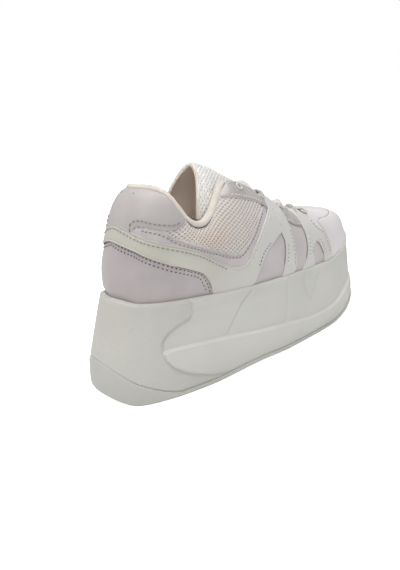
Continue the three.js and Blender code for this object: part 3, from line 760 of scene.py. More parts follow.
def midsoleSide(turn, v):
    # out and height of the side, v 0 at the outsole line and 1 at the rim: a slope to the power 1.08,
    # plus swollen band, step, recess, heel block, engraved lines and rounded rim
    station = outlinePoint(turn)[..., 1]
    around = aroundOf(turn)
    line, rim = outsoleLine(station) + band["seam"], soleAt("rim", station)
    crease = np.interp(around, creaseLine["around"], creaseLine["height"])
    # rows crowd at the crease
    half = band["share"]
    low = clamp(v / half)
    high = clamp((v - half) / (1 - half))
    z = np.where(v <= half, line + (crease - line) * (1 - (1 - low) ** 1.5),
                 crease + (rim - crease) * high ** 1.35)
    out = -soleAt("lean", station) * ((z - line) / (rim - line)) ** 1.08
    share, past = panelShare(around, z)
    below = clamp((z - line) / (crease - line))
    swell = band["swell"] * np.sin(np.pi * below ** 0.8) * (z < crease)
    proud = band["proud"] * ease(below * 1.4) * (z <= crease)
    above = z - crease
    ledge = band["proud"] * (1 - ease(above / band["step"])) - band["recess"] * ease(above / band["step"])
    fade = ease((rim - 1 - z) / 9)
    recess = np.where(above > 0, ledge * np.where(above < band["step"], 1, fade), 0)
    block = band["block"] * (1 - share)
    toe = 1 - ease((around - 0.84) / 0.1)
    out = out + share * (swell * toe + (proud + recess) * toe) + block
    deep, wide = band["groove"]
    out = out - deep * bell(past, wide) * ease((z - line) / 3) * ease((rim - z + 1) / 2)
    deep, wide = band["cut"]
    for cut in cuts:
        knots = np.array(cut)[::-1]
        near = (around - np.interp(z, knots[:, 1], knots[:, 0])) * shoe["span"]
        out = out - deep * bell(near, wide) * ease((z - knots[0, 1]) / 1.5) * ease((rim - z) / 2)
    # a round edge at the rim
    roll = clamp((z - rim + band["rimRound"]) / band["rimRound"])
    out = out - band["rimDrop"] * (1 - np.sqrt(1 - (0.999 * roll) ** 2))
    return out, z, share


def makeMidsole():
    # rings from the bed of the outsole up the side, over the rim and down into the cup
    turns = soleTurns(band["columns"])
    station = outlinePoint(turns)[:, 1]
    line, rim = outsoleLine(station) + band["seam"], soleAt("rim", station)
    v = np.linspace(0, 1, band["rows"])[:, None]
    out, z, share = midsoleSide(turns[None, :], v)
    side = beside(np.broadcast_to(turns, out.shape), out, z)
    tray = -tread["tray"] - shoe["gap"]
    lean = soleAt("lean", station)
    inner = -lean - shoe["lip"] - 0.25
    under = [beside(turns, tray - 1, treadHeight(station) + tread["floor"] + 0.45),
             beside(turns, np.full(len(turns), tray), line), beside(turns, np.full(len(turns), -1.0), line)]
    over = [beside(turns, -lean - 1.9, rim + 0.05), beside(turns, inner + 0.35, rim - 0.05),
            beside(turns, inner, rim - 0.6), beside(turns, inner, soleAt("floor", station) + 0.5),
            beside(turns, inner - 0.6, soleAt("floor", station))]
    rings = [*under, *side, *over]
    blasted = np.zeros((len(rings) - 1, len(turns)), int)
    blasted[len(under):len(under) + len(side) - 1] = (share[:-1] < 0.5).astype(int)
    return stackRings("midsoleShell", rings, [mats["sole"], mats["blast"]], ["midsole"],
                      faceMaterial=blasted)


def grooveDepth(x, station):
    # straight grooves under the heel, arrow-shaped ones (station + bend |x|) under the ball
    depth = np.zeros_like(station)
    for start, stop, pitch, bend in (tread["heel"], tread["ball"]):
        along = station - bend + 2 * bend * np.abs(x) / 60
        number = clamp(np.round((along - start) / pitch), 0, int((stop - start) / pitch))
        across = np.abs(along - start - number * pitch)
        depth = np.maximum(depth, ease((tread["width"] / 2 + 0.4 - across) / 0.8))
    return depth * tread["depth"]


def makeOutsole():
    # rings from the spine of the tread out to its edge, round it, up the side and in under the midsole
    turns = soleTurns(tread["columns"])
    proud, curve, lip = tread["proud"], tread["round"], tread["lip"]
    station = outlinePoint(turns)[:, 1]
    bottom, line = treadHeight(station), outsoleLine(station)
    spine = np.stack([np.zeros(len(turns)), clamp(station, 34, 246)], -1)
    share = np.linspace(1, 0, 52)[:, None, None] ** 0.9
    rim = beside(turns, np.full(len(turns), proud - curve), 0)[:, :2]
    flat = spine[None] * share + rim[None] * (1 - share)
    ground = treadHeight(flat[..., 1]) + grooveDepth(flat[..., 0], flat[..., 1])
    ground[0] = ground[1]
    under = list(np.concatenate([flat, ground[..., None]], -1))
    angle = np.linspace(0, 90, 6)[1:] * np.pi / 180
    roll = [beside(turns, proud - curve + curve * np.sin(a), bottom + curve * (1 - np.cos(a))) for a in angle]
    bulge = []
    for v in np.linspace(0, 1, 12)[1:]:
        z = bottom + curve + (line - lip - bottom - curve) * v
        out = proud * (1 - 0.5 * v) + 0.5 * np.sin(np.pi * v) + 0.4 * bell(v - 0.9, 0.14)
        bulge.append(beside(turns, out, np.maximum(z, bottom + curve)))
    edge = [beside(turns, np.full(len(turns), o), line - lip + h)
            for o, h in ((0.95, 0.25), (0.85, 0.75), (0.5, 1.05), (0.0, lip))]
    hidden = [beside(turns, np.full(len(turns), -tread["tray"]), line),
              beside(turns, np.full(len(turns), -tread["tray"] - 0.6), bottom + tread["floor"])]
    rings = [*under, *roll, *bulge, *edge, *hidden]
    return stackRings("outsoleTread", rings, [mats["tread"]], ["outsole"], capBottom=False)


insole = {"columns": 360, "clear": 1.6,  # from the lining
          "section": [(0.6, 0.3), (0, 1.3), (-0.1, 4.6), (0.6, 5.2), (1.6, 5.0), (4, 4.4), (9, 4.1)]}


def makeInsole():
    # rings of (inwards, height over the cup's floor): a flat sock with a raised rolled edge
    turns = np.linspace(-1, 1, insole["columns"], endpoint=False)
    station = outlinePoint(turns)[:, 1]
    edge = -soleAt("lean", station) - shoe["lip"] - shoe["wall"] - insole["clear"]
    rings = [beside(turns, edge - inwards, soleAt("floor", station) + height)
             for inwards, height in insole["section"]]
    return stackRings("insoleSock", rings, [mats["lining"]], ["insole"])


makeMidsole()
makeOutsole()
makeInsole()
print("sole made")

upper = {"columns": 640, "rows": 66, "insideRows": 26, "last": 0.985, "roll": 0.4}
inserts = {  # holes of the quarter panel that show the strip leather, by their edges
    "front": [(.389, 0), (.408, 12.3), (.429, 21.5), (.466, 29), (.505, 35)],
    "rear": [(.496, 0), (.501, 9), (.507, 19), (.511, 28), (.505, 35)],
}


def makeUpper():
    # rings up the outside of the skin, over its edge and down the inside, one wall thickness in
    turns = np.linspace(-1, 1, upper["columns"], endpoint=False)
    wall, shares = shoe["wall"], np.linspace(0, upper["last"], upper["rows"])
    top = ribLength(turns)
    station = outlinePoint(turns)[:, 1]
    foot = featherPoint(turns)
    foot[:, 2] = soleAt("floor", station) + shoe["gap"]
    outer = [foot] + [skinAt(turns, top * u) for u in shares]
    edge = skinAt(turns, top * 0.9995)
    normal = upperNormal(turns, np.full(len(turns), 0.98))
    outer.append(edge - normal * upper["roll"])
    inner = [edge - normal * (wall - upper["roll"])]
    inner += [skinAt(turns, top * u, -wall) for u in np.linspace(upper["last"], 0, upper["insideRows"])]
    sole = inner[-1].copy()
    sole[:, 2] = soleAt("floor", station) + shoe["gap"]
    rings = [*outer, *inner, sole, foot]
    index = np.zeros((len(rings) - 1, len(turns)), int)
    index[len(outer):] = 1
    around = aroundOf(turns)[None, :]
    climb = top[None, :] * shares[:, None]
    front, rear = (np.array(inserts[k]) for k in ("front", "rear"))
    low = np.interp(climb, front[:, 1], front[:, 0])
    high = np.interp(climb, rear[:, 1], rear[:, 0])
    within = (around > low - 0.01) & (around < high + 0.01) & (climb < 40)
    within |= (around > 0.63) & (around < 0.70) & (climb < 23)
    index[1:len(shares)][within[:-1]] = 2
    return stackRings("upperShell", rings, [mats["skin"], mats["lining"], mats["strip"]],
                      ["upper"], faceMaterial=index, capTop=False, capBottom=False)


# seam lines as (around, climb) knots of the outer side; the inner side takes their mirror image
bandTop = [(0, 43.6), (.03, 42.2), (.068, 39.4), (.108, 38), (.138, 36.2), (.184, 32.7), (.237, 27.8),
           (.289, 20.4), (.315, 16.9)]
bandStitch = [(0, 41.2), (.028, 39.8), (.066, 37.1), (.108, 35.6), (.139, 33.9), (.185, 30.3), (.237, 25.3),
              (.285, 18.6), (.305, 15.2)]
bandBottom = [(0, 33.8), (.042, 32.2), (.096, 29.8), (.139, 26), (.169, 22.6), (.204, 19.3), (.235, 15.9),
              (.254, 10.4), (.264, 4.5), (.267, 0)]
quarterEdge = [(.315, 16.9), (.337, 15.5), (.359, 17), (.373, 21.1), (.393, 27.8), (.416, 35.1), (.449, 44.4),
               (.485, 53.2)]
meshEdge = [(.076, 44.5), (.113, 44), (.136, 42), (.152, 39.2), (.183, 35.7), (.237, 31.2), (.278, 28),
            (.317, 24.8), (.344, 24.6), (.362, 27.9), (.387, 34.3), (.413, 41.6), (.441, 49.5), (.463, 54.3)]
tabEdge = [(.073, 37.5), (.064, 39.7), (.057, 42), (.059, 44), (.069, 45.1), (.084, 45.2), (.105, 45),
           (.129, 44.5), (.147, 44.5), (.162, 46.5), (.176, 50.0)]
stayEdge = [(.341, 63.9), (.358, 62.4), (.399, 61.5), (.443, 60), (.477, 56.9), (.493, 52.2)]
legFront = [(.551, 45.4), (.550, 37.8), (.549, 26.6), (.548, 15.7), (.550, 6.2), (.548, 0)]
vampEdge = [(.548, 43.6), (.570, 40.1), (.598, 37.3), (.625, 35.9)]
overRear = [(.633, 59), (.627, 51), (.621, 44), (.616, 36), (.612, 27.7), (.606, 18.5), (.598, 9),
            (.584, 0)]
overHole = [(.642, 0), (.631, 11.1), (.641, 18.5), (.661, 20.8), (.673, 16.7), (.688, 7.5), (.696, 0)]
overFront = [(.686, 59), (.684, 50), (.686, 42.2), (.691, 33.3), (.714, 27.8), (.717, 18.5), (.729, 6.5),
             (.743, 0)]
capEdge = [(.722, 38), (.752, 40.4), (.790, 41.6), (.849, 40.4), (.899, 35.4), (.95, 32.4), (1, 31.6)]


def makePanels():
    # every leather panel, as closed rings of seam lines
    floor = [(.267, 0), (.31, -0.8), (.35, -0.8), (.389, 0)]
    seamUp = [(.485, 53.2), (.493, 57.5), highAt(.499)]
    sideOut = [floor, inserts["front"], inserts["rear"][::-1], [(.496, 0), (.52, -0.8), (.548, 0)],
               legFront[::-1] + [highAt(.553)], topRun(.553, .499, 0.5, 5), seamUp[::-1], quarterEdge[::-1]]
    sideIn = [mirrored(c) for c in reversed(sideOut)]
    whole = [bothSides(bandBottom), *sideOut, bothSides(bandTop)[::-1], *sideIn]
    cutPanel("quarterOverlay", whole, mats["cream"], thick=1.25, puff=0.25)
    # the tab over the top of the heel, padded, its lower edge a soft lobe
    rest = [topRun(.176, .06, 0.6, 7), topRun(.06, -.06, 0.6, 7), topRun(-.06, -.176, 0.6, 7)]
    bottom = [(-.073, 37.5), (-.03, 40.5), (0, 42), (.03, 40.5), (.073, 37.5)]
    cutPanel("heelTab", [mirrored(tabEdge), bottom, tabEdge, *rest], mats["tab"], thick=1.3, puff=0.5)
    for side, end in ((1, "Outer"), (-1, "Inner")):
        strip = [(.050, 37.5), (.056, 42.6), (.070, 44)] + shifted(meshEdge[1:], 0, 1.2)
        under = [(.47, 49), (.43, 36), (.398, 26), (.378, 18), (.36, 13), (.335, 11), (.305, 15), (.27, 20.5),
                 (.22, 26.5), (.17, 31), (.11, 34.5), (.050, 37.5)]
        cutPanel("quarterStrip" + end, [strip, [(.463, 55.5), (.476, 55.5), (.47, 49)], under], mats["strip"],
                 side, thick=0.75)
        stay = [[(.335, 62.5), (.345, 62.9)] + stayEdge[1:], [(.493, 52.2), (.51, 53), (.527, 53), highAt(.527)],
                topRun(.527, .335, 0.4, 11), [highAt(.335), (.335, 62.5)]]
        cutPanel("eyestay" + end, stay, mats["pearl"], side, thick=1.0, puff=0.2)
        front = [vampEdge, [(.625, 35.9), (.633, 45), highAt(.64)], topRun(.64, .545, 0.4, 6),
                 [highAt(.545), (.545, 52), (.548, 43.6)]]
        cutPanel("eyestayFront" + end, front, mats["pearl"], side, thick=0.6)
        over = [[highAt(.634)] + overRear[1:], [(.584, 0), (.61, -0.8), (.642, 0)], overHole,
                [(.696, 0), (.72, -0.8), (.743, 0)], overFront[::-1][:-1] + [highAt(.687)],
                topRun(.687, .634, 0.5, 4)]
        cutPanel("vampOverlay" + end, over, mats["cream"], side, thick=1.25, puff=0.2)
    sole = [(1.263, 0), (1.2, -.5), (1.1, -.5), (1, -.5), (.9, -.5), (.8, -.5), (.737, 0)]
    down, up = [(1.278, 38), (1.274, 18), (1.263, 0)], [(.737, 0), (.726, 18), (.722, 38)]
    cutPanel("toeCap", [overToe(capEdge), down, sole, up], mats["skin"], thick=1.0, puff=0.35)


knitPanel = {"pitch": 3.1, "ground": 0.15, "knit": 0.55, "columns": 430, "rows": 74}


def makeMesh(side, end):
    # ruled between its lower edge and the upper one under the tab, the binding and the eyestay; the knit is
    # h = the higher of two crossed ridge rows cos^4(pi (.72 x + 1.15 y) / p)
    # and cos^4(pi (.72 x - 1.15 y) / p), so its holes are wider than high
    low = curveThrough([(.052, 40.5), (.058, 43)] + meshEdge, 0.25)
    above = tabEdge[4:-1] + [highAt(.178, 0.8)] + topRun(.19, .335, 0.8, 10)
    above = [(t, c + (1.5 if t < .17 else 0)) for t, c in above] + shifted(stayEdge[1:-1], 0, 2)
    high = curveThrough([(.052, 41.5)] + above + [(.478, 56.5)], 0.25)
    count, rows = knitPanel["columns"], knitPanel["rows"]
    lower = low[np.linspace(0, len(low) - 1, count).astype(int)]
    nearest = np.interp(lower[:, 0], high[:, 0], np.arange(len(high)))
    top = np.stack([np.interp(nearest, np.arange(len(high)), high[:, k]) for k in (0, 1)], -1)
    top[:, 1] = np.maximum(top[:, 1], lower[:, 1] + 0.4)
    w = np.linspace(0, 1, rows)[:, None, None]
    flat = lower[None] * (1 - w) + top[None] * w
    east, north = 0.72 * flat[..., 0], 1.15 * flat[..., 1]
    knit = np.maximum(*(np.cos(np.pi * ridge / knitPanel["pitch"]) ** 4 for ridge in (east + north, east - north)))
    cover = onSkin(flat, knitPanel["ground"] + knitPanel["knit"] * knit, side)
    back = [onSkin(line, -panel["sunk"], side) for line in flat[[73, 48, 24, 0]]]
    sections = np.concatenate([cover, np.stack(back), cover[:1]])
    first, last = (list(range(c, (len(sections) - 1) * count, count)) for c in (0, count - 1))
    faces = gridFaces(len(sections), count).tolist() + [first[::-1], last]
    piece = meshPiece("meshPanel" + end, sections, faces, [mats["mesh"]], weld=0.02)
    glow = bell(flat[..., 0] - 84, 20) * bell(w[..., 0] - 0.45, 0.4)
    behind = np.zeros((5, count))
    # the knit's height goes with the piece as "weave", the mask of the painted shade in its holes
    tagPoints(piece, sections, {"weave": np.concatenate([knit, behind]), "glow": np.concatenate([glow, behind])})


def tagPoints(piece, points, values):
    # point attributes, carried to the welded mesh by the nearest made point
    made = toFrame(points.reshape(-1, 3))
    tree = KDTree(len(made))
    for k, p in enumerate(made.tolist()):
        tree.insert(p, k)
    tree.balance()
    near = [tree.find(v.co)[1] for v in piece.data.vertices]
    for name, value in values.items():
        layer = piece.data.attributes.new(name, "FLOAT", "POINT")
        layer.data.foreach_set("value", np.ravel(value)[near].astype(np.float32))


def piping(name, knots, wide, lift, material, side=1):
    # a round bead along a seam line, thinner at its two ends
    line = curveThrough(knots, 1.2)
    place, normal = skinFrame(side * line[:, 0] / shoe["span"], line[:, 1], lift)
    number = np.arange(len(line))
    radius = wide * ease(np.minimum(number, number[::-1]) / 3 + 0.25)
    return sweep(name, place, normal, radius, radius, material, "upper_leather", corners=10)


def stitchRow(name, lines, material, side=1, pitch=3.2, long=2.3, wide=0.38, high=0.26, lift=1.25,
              phase=0.5):
    # thread over the skin: capsules, radius r(t) = (1 - t^4)^(1/2), every "pitch" along each line
    t = np.linspace(-1, 1, 7)
    spans = []
    for knots in lines:
        line = curveThrough(knots, 0.4)
        middle = np.arange(pitch * phase, travelled(line)[-1] - pitch / 2, pitch)
        spans.append(pointsAt(line, middle[:, None] + t * long / 2))
    at = np.concatenate(spans)
    place = onSkin(at, lift - 0.22 * t**4, side)
    tangent = unit(place[:, -1] - place[:, 0])
    turn, climb = at[:, 3, 0] / shoe["span"], at[:, 3, 1]
    normal = upperNormal(side * turn, np.minimum(upOfClimb(turn, climb), 0.99))
    across = unit(np.cross(tangent, normal))
    angle = np.arange(6)[:, None] * np.pi / 3
    ring = across[:, None, None] * np.cos(angle) * wide + normal[:, None, None] * np.sin(angle) * high
    points = place[:, :, None] + ring * np.sqrt(np.maximum(1 - t**4, 0.04))[:, None, None]
    ends = [[0, 1, 2, 3], [0, 3, 4, 5], [39, 38, 37, 36], [41, 40, 39, 36]]
    one = np.concatenate([gridFaces(7, 6, ringed=True)[:, ::-1], ends])
    faces = (one + 42 * np.arange(len(points))[:, None, None]).reshape(-1, 4)
    return meshPiece(name, points, faces, [material])


def makeTrim():
    # beads, shadow lines and stitches along the seam lines, each row a few millimetres off its seam
    piping("bandPiping", bothSides(bandTop), 0.42, 1.15, mats["cream"])
    piping("bandHem", bothSides(bandBottom[:5]), 0.4, 1.1, mats["cream"])
    # painted shadow: a grey line under the band's lower edge
    piping("bandShadow", bothSides(shifted(bandBottom[:-1], 0, -0.3)), 0.28, 0.2, mats["grey"])
    stitchRow("bandStitches", [bothSides(bandStitch)], mats["grey"], wide=0.3, lift=1.62)
    dots = [(.008, 34.5), *bandBottom[1:]]
    first = [(t - (.004 if c < 12 else 0), c - (1.3 if c > 3 else 0)) for t, c in dots]
    second = [(t - (.010 if c < 12 else .005), c - (3.1 if c > 3 else 0)) for t, c in dots]
    rows = []
    for line in (first, second):
        ends = [(t, max(c, 0.6)) for t, c in line]
        rows.append(mirrored(ends) + ends)
    stitchRow("counterStitches", rows, mats["darkThreadAndHoleShade"], pitch=3.0, long=1.5, wide=0.36, high=0.2, lift=0.15)
    tab = [(.052, 40.4), (.047, 43.5), (.051, 46.4), (.066, 47.8), (.106, 47.6), (.145, 47.6), (.158, 49.6)]
    for side, end in ((1, "Outer"), (-1, "Inner")):
        piping("quarterPiping" + end, quarterEdge + [(.493, 57.5), highAt(.499)], 0.62, 1.0, mats["cream"], side)
        piping("meshPiping" + end, meshEdge[2:] + [(.474, 56)], 0.55, 0.75, mats["tab"], side)
        stitchRow("stripStitches" + end, [shifted(meshEdge, 0, -1.6)], mats["grey"], side, lift=0.85)
        stitchRow("tabStitches" + end, [tab], mats["grey"], side, lift=1.85)
        light = [[(.509, 40), (.500, 48), (.506, 56)], [(.545, 44), (.547, 52), (.548, 57)],
                 shifted(quarterEdge[2:], 0.008, -0.5), shifted(overRear[:4], 0.007)]
        stitchRow("quarterStitches" + end, light, mats["thread"], side, lift=1.66)
        stitchRow("frontLegStitches" + end, [shifted(inserts["front"][1:-1], -0.0085, 1.5)], mats["darkThreadAndHoleShade"],
                  side, pitch=2.9, long=1.5, wide=0.3, lift=1.62)
        pale = [shifted(inserts["rear"][1:-1], 0.0075),
                shifted(legFront[1:-1], -0.0075), shifted(overRear[4:-1], 0.0075),
                [(t + (-.007 if t < .65 else .007), c + (2.2 if c > 15 else 0)) for t, c in overHole[1:-1]],
                shifted(overFront[2:-1], -0.0075)]
        stitchRow("legStitches" + end, pale, mats["thread"], side, pitch=3.1, long=2.2, wide=0.5, high=0.4,
                  lift=1.6)
        # grey dots between the stitches: painted shade in the needle holes
        stitchRow("legHoleShade" + end, pale, mats["grey"], side, pitch=3.1, long=0.7, wide=0.32, lift=1.62,
                  phase=1)
        stay = [shifted(stayEdge[1:-1], 0, 2.3), [highAt(t, 2.2) for t in (.365, .38, .4, .43, .46, .49, .52)]]
        stitchRow("stayStitches" + end, stay, mats["thread"], side, lift=1.25)
        # grey lines of painted shadow beside the raised edges of the overlays
        for word, knots in (("legTwo", shifted(inserts["rear"][1:], -0.001)),
                            ("overRear", shifted(overRear[2:-1], -0.0012)),
                            ("hole", shifted(overHole[3:-1], -0.0012)), ("vamp", shifted(vampEdge, 0, -0.2)),
                            ("stay", shifted(stayEdge[1:-1], 0, -0.25)),
                            ("quarter", shifted(quarterEdge, -0.003, 0.3))):
            piping(word + "Shadow" + end, knots, 0.3, 0.3, mats["grey"], side)
        vamp = [shifted(vampEdge, 0, 2.2), [highAt(t, 2.2) for t in (.56, .59, .62, .66, .68)]]
        stitchRow("vampStitches" + end, vamp, mats["thread"], side, lift=0.95)
    stitchRow("capStitches", [shifted(overToe(capEdge), 0, -2.2)], mats["thread"], lift=1.1)
    # painted shadow: a grey line along the toe cap's edge
    piping("capShadow", shifted(overToe(capEdge), 0, 0.15), 0.3, 0.2, mats["grey"])
    # dark dots on the tab: painted shade in needle holes
    dot = [highAt(.022, 5.0), highAt(.034, 5.0)]
    stitchRow("tabHoleShade", [dot, mirrored(dot)], mats["darkThreadAndHoleShade"], pitch=2.4, long=0.8, wide=0.36, lift=1.85)
    stitchRow("toeSeam", [shifted(overToe(capEdge[1:]), 0, 1.9)], mats["thread"], lift=0.15)


binding = {"end": 0.361, "rings": 260, "radius": 2.8, "rise": 1.6, "inwards": 0.95, "seam": 0.9}


def makeBinding():
    # a round roll on the top edge of the collar, and the seam line that holds its tape
    count = binding["rings"]
    turn = np.linspace(-binding["end"], binding["end"], count)
    top = topEdge(turn)
    up = unit(top - upperPoint(turn, np.full(count, 0.9)))
    out = upperNormal(turn, np.full(count, upper["last"]))
    place = top + up * binding["rise"] - out * binding["inwards"]
    number = np.arange(count)
    radius = binding["radius"] * (0.75 + 0.25 * ease(np.minimum(number, number[::-1]) / 6))
    sweep("collarBinding", place, up, radius, radius, mats["binding"], "binding_fabric", corners=24,
          replaced=["collar_binding"])
    line = top + (out - up) * binding["seam"]
    sweep("bindingSeam", line, up, 0.35, 0.3, mats["darkThreadAndHoleShade"], "binding_fabric", corners=8)


tongue = {
    "start": 78, "long": 144, "columns": 92, "rows": 132, "spread": 80,  # degrees each way round the arch
    "skin": 0.35, "wall": 0.6, "pad": (1.6, 2.2),  # outer crown, least wall, padding at the tip and beyond
    "channel": (0.62, 0.7), "tape": (0.9, 1.5), "fill": 0.6,
}


def tonguePoint(station, across):
    # arch over the instep: x = half sin(a), height = ridge - arch (1 - cos(a))^0.86, sides set back
    half, back, ridge, arch = (smooth(tongueRows, "station", key, station)
                               for key in ("half", "back", "ridge", "arch"))
    angle = np.radians(tongue["spread"]) * across
    return np.stack([half * np.sin(angle), station - back * np.sin(angle) ** 2,
                     ridge - arch * (1 - np.cos(angle)) ** 0.86], -1)


def tongueNormal(station, across):
    # the way across the arch crossed with the way along it
    along = tonguePoint(station + 1, across) - tonguePoint(station - 1, across)
    over = tonguePoint(station, across + 0.02) - tonguePoint(station, across - 0.02)
    return unit(np.cross(over, along))


def makeTongue():
    # a padded leaf: outer and inner face, closed round the rim, where its fullness
    # sqrt(1 - a^6) sqrt(1 - s^14) runs out, with a sewn channel down each side
    start, long, columns, rows = (tongue[key] for key in ("start", "long", "columns", "rows"))
    across = np.sin(np.linspace(-1, 1, columns) * np.pi / 2)
    stations = start + long * (0.5 - 0.5 * np.cos(np.linspace(0, 1, rows) * np.pi))
    s, a = np.meshgrid(stations, across, indexing="ij")
    end = np.abs(2 * (s - start) / long - 1)
    full = np.sqrt(clamp(1 - a ** 6)) * np.sqrt(clamp(1 - end ** 14))
    base, normal = tonguePoint(s, a), tongueNormal(s, a)
    middle, deep = tongue["channel"]
    channel = deep * bell(np.abs(a) - middle, 0.05) * ease((s - start - 6) / 6)
    crown = tongue["skin"] * (1 + 0.6 * np.cos(a * 2)) - channel
    pad = tongue["wall"] + (tongue["pad"][0] + tongue["pad"][1] * ease((s - start - 6) / 30)) * full
    points = np.stack([base + normal * (crown * full)[..., None], base - normal * pad[..., None]])
    uv = np.stack([a * 0.029, s / 1000], -1).reshape(-1, 2)
    size = rows * columns
    lid = gridFaces(rows, columns)
    number = np.arange(size).reshape(rows, columns)
    rim = np.concatenate([number[0], number[1:, -1], number[-1, -2::-1], number[-2:0:-1, 0]])
    following = np.roll(rim, -1)
    walls = np.stack([rim, rim + size, following + size, following], -1)
    faces = np.concatenate([lid, lid[:, ::-1] + size, walls])
    index = np.repeat([0, 1], [len(lid), len(lid) + len(walls)])
    piece = meshPiece("tonguePad", points, faces, [mats["tongue"], mats["lining"]],
                      faceMaterial=index, uv=np.concatenate([uv, uv]), replaced=["tongue"])
    # tape up one side, round the top end and down the other
    side = np.stack([np.linspace(150, 80, 40), np.full(40, -1.0)], -1)
    tip = np.stack([np.full(60, float(start)), np.sin(np.linspace(-1, 1, 60) * np.pi / 2)], -1)
    path = np.concatenate([side, tip, side[::-1] * [1, -1]])
    place, normal = tonguePoint(path[:, 0], path[:, 1]), tongueNormal(path[:, 0], path[:, 1])
    place[1:-1] = (place[:-2] + 2 * place[1:-1] + place[2:]) / 4
    sweep("tongueTape", place - normal, normal, *tongue["tape"], mats["binding"], "tongue_mesh", corners=16)


eyelet = {
    "turns": [.405, .495, .57, .643, .715], "down": 5.9, "stand": 1.0, "hole": 1.62, "corners": 40,
    "section": [(1.6, -2.6), (2.2, -2.6), (2.2, 0), (3.0, 0), (3.2, .25), (3.1, .6), (2.7, .92),
                (2.3, 1.0), (1.9, .9), (1.65, .55), (1.6, 0)],  # radius, height
}


def eyeletPlace(turn):
    # foot of the ring, so far down from the edge of the skin, standing on the overlay
    return skinFrame(turn, highAt(turn, eyelet["down"])[1], eyelet["stand"])


def makeEyelets():
    # each ring is its section turned about the skin's normal; dark discs under them paint the shade inside the
    # punched holes
    section, count = np.array(eyelet["section"]), eyelet["corners"]
    angle = np.arange(count) * 2 * np.pi / count
    holes = []
    for i, around in enumerate(eyelet["turns"]):
        for turn, word in ((around, "outer"), (2 - around, "inner")):
            place, normal = eyeletPlace(turn)
            east = unit(np.cross(normal, upward))
            circle = np.cos(angle)[:, None] * east + np.sin(angle)[:, None] * np.cross(east, normal)
            rings = place + circle[None] * section[:, 0, None, None] + normal * section[:, 1, None, None]
            # a dark disc within each ring's foot: painted shade in the hole
            holes += [place + circle * eyelet["hole"] + normal * height for height in (-0.4, 0.1)]
            meshPiece(f"ring{word.title()}{i + 1}", np.concatenate([rings, rings[:1]]),
                      gridFaces(len(section) + 1, count, ringed=True), [mats["ring"]],
                      replaced=[f"eyelet_{word}_{i + 1}"], weld=0.001)
    faces = []
    for start in range(0, count * len(holes), 2 * count):
        faces += (gridFaces(2, count, ringed=True) + start).tolist()
        faces += [list(range(start + count - 1, start - 1, -1)), list(range(start + count, start + 2 * count))]
    meshPiece("eyeletHoleShade", np.concatenate(holes), faces, [mats["darkThreadAndHoleShade"]])


lace = {"wide": (1.6, 1.9), "high": (1.35, -0.3), "rings": 170, "corners": 20, "squareness": 0.8, "float": 2.0}


def transported(path, middle, up):
    # carries "up" along the path from its middle both ways, keeping it square to the line
    tangent = tangentsOf(path)
    ups = np.zeros_like(path)
    for order in (range(middle, len(path)), range(middle, -1, -1)):
        last = np.array(up, float)
        for k in order:
            last = last - tangent[k] * (last @ tangent[k])
            last /= np.linalg.norm(last)
            ups[k] = last
    return tangent, ups


def makeLaces():
    # each bar: up out of its eyelet, over the edge of the eyestay, across the tongue and down the other
    # side; the half widths grow from round at the ends to flat by an eased share of the run
    rng = np.random.default_rng(7)
    for i, around in enumerate(eyelet["turns"][1:]):
        half = []
        for turn in (around, 2 - around):
            place, normal = eyeletPlace(turn)
            edge = skinAt(*highAt(turn, 0.5))
            inward = unit(edge - place)
            half.append([place - normal * 3.2 + inward * 0.2, place + normal * 0.6,
                         place + normal * 2.0 + inward * 1.8, edge + normal * 1.7 + inward * 0.2])
        station = (half[0][1][1] + half[1][1][1]) / 2
        crossing = []
        for across in (0.56, 0.3, 0, -0.3, -0.56):
            s = station + rng.uniform(-0.7, 0.7) - 0.5
            crossing.append(tonguePoint(s, across) + tongueNormal(s, across) * (lace["float"] + 0.4 * rng.random()))
        line = throughKnots(half[0] + crossing + half[1][::-1], 30)
        path = pointsAt(line, np.linspace(0, travelled(line)[-1], lace["rings"]))
        run = travelled(path)
        spread = ease((np.minimum(run, run[-1] - run) - 3.5) / 6)
        wide = lace["wide"][0] + lace["wide"][1] * spread + 0.16 * np.sin(run / 3.1 + i)
        high = lace["high"][0] + lace["high"][1] * spread
        tangent, up = transported(path, lace["rings"] // 2, upward)
        roll = ((1 - spread) * 0.5 * np.sign(path[:, 0]) + 0.14 * np.sin(run / 7 + 2 * i))[:, None]
        up = up * np.cos(roll) + np.cross(tangent, up) * np.sin(roll)
        sweep(f"laceRun{i + 1}", path, up, wide, high, mats["cord"], "lace_cord", corners=lace["corners"],
              power=lace["squareness"], replaced=[f"lace_bar_{i + 1}"])


makeUpper()
makePanels()
for side, end in ((1, "Outer"), (-1, "Inner")):
    makeMesh(side, end)
print("upper made")
makeTrim()
makeBinding()
print("stitches and binding made")
makeTongue()
makeEyelets()
makeLaces()
print("tongue and laces made")

stage = {
    "floor": 6.0,  # half its side, in metres
    "aim": (0, 0, 0.06),
    "lights": [  # name, place, size, power, tint
        ("keyLight", (0.5, -1.5, 1.5), 1.4, 2.5, "#fffaf4"),
        ("sideLight", (1.7, 0.3, 0.9), 1.2, 2.4, "#f6f8ff"),
        ("topLight", (0.0, -0.2, 1.9), 1.8, 29, "#ffffff"),
        ("backLight", (0.25, -1.0, 0.95), 0.5, 1.0, "#fff8f0"),
        ("fillLight", (-1.4, -0.8, 0.8), 1.4, 2.5, "#ffffff"),
    ],
    "room": 0.29, "paper": 0.9,
}


def aimed(name, data, place, target):
    # a light or a camera that looks from one place at another
    made = bpy.data.objects.new(name, data)
    turn = (Vector(target) - Vector(place)).to_track_quat("-Z", "Y")
    made.matrix_world = Matrix.LocRotScale(Vector(place), turn, None)
    bpy.context.scene.collection.objects.link(made)
    return made


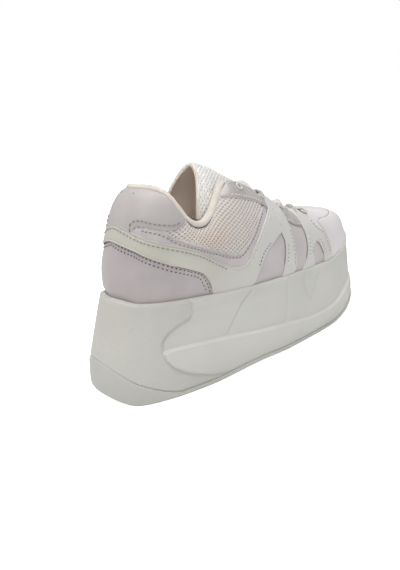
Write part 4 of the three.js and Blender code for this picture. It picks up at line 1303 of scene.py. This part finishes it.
def makeStage():
    # a sheet of paper, five soft lights and a pale room; both glow only as the camera sees them, so the
    # ground stays plain and the shoe keeps its shading
    half = stage["floor"]
    sheet = bpy.data.meshes.new("floor")
    sheet.from_pydata([(-half, -half, 0), (half, -half, 0), (half, half, 0), (-half, half, 0)], [], [(0, 1, 2, 3)])
    paper, tree, shader = newMaterial("studioPaper", {"Base Color": colour("#f4f4f4"), "Roughness": 0.9,
                                                      "Emission Color": (1, 1, 1, 1)})
    seen = node(tree, "LightPath").outputs["Is Camera Ray"]
    glow = node(tree, "Math", {"operation": "MULTIPLY", 1: stage["paper"]}, {0: seen})
    join(tree, shader, {"Emission Strength": glow.outputs["Value"]})
    sheet.materials.append(paper)
    floor = bpy.data.objects.new("floor", sheet)
    bpy.context.scene.collection.objects.link(floor)
    for name, place, size, power, tint in stage["lights"]:
        data = bpy.data.lights.new(name, "AREA")
        data.size, data.energy, data.color = size, power, colour(tint)[:3]
        aimed(name, data, place, stage["aim"])
    # a narrow soft spot into the collar, so that the lining isn't lost in shade
    data = bpy.data.lights.new("collarLight", "SPOT")
    data.energy, data.spot_size, data.spot_blend, data.shadow_soft_size = 1.5, 0.17, 1.0, 0.02
    aimed("collarLight", data, (0.1, -0.22, 0.3), (-0.016, -0.056, 0.1))
    world = bpy.data.worlds.new("studio")
    world.use_nodes = True
    background = world.node_tree.nodes["Background"]
    background.inputs["Color"].default_value = (1, 1, 1, 1)
    seen = node(world.node_tree, "LightPath").outputs["Is Camera Ray"]
    strength = node(world.node_tree, "MapRange", {"To Min": stage["room"], "To Max": 1.0}, {"Value": seen})
    join(world.node_tree, background, {"Strength": strength.outputs["Result"]})
    bpy.context.scene.world = world
    bpy.context.scene.view_settings.view_transform = "Standard"
    print("stage made")


view = {  # metres, degrees and millimetres of lens
    "place": (0.194742, -0.243334, 0.142121), "tilt": 72.390, "roll": -0.566, "turn": 45.674, "lens": 24.27,
}


def makeCamera():
    # a small tilt from straight down, a slight roll and a turn about the upright
    data = bpy.data.cameras.new("camera")
    data.sensor_width, data.lens, data.clip_start = 36, view["lens"], 0.02
    camera = bpy.data.objects.new("camera", data)
    angles = Euler([float(np.radians(view[key])) for key in ("tilt", "roll", "turn")])
    camera.matrix_world = Matrix.LocRotScale(Vector(view["place"]), angles, None)
    bpy.context.scene.collection.objects.link(camera)
    bpy.context.scene.camera = camera


makeStage()
makeCamera()
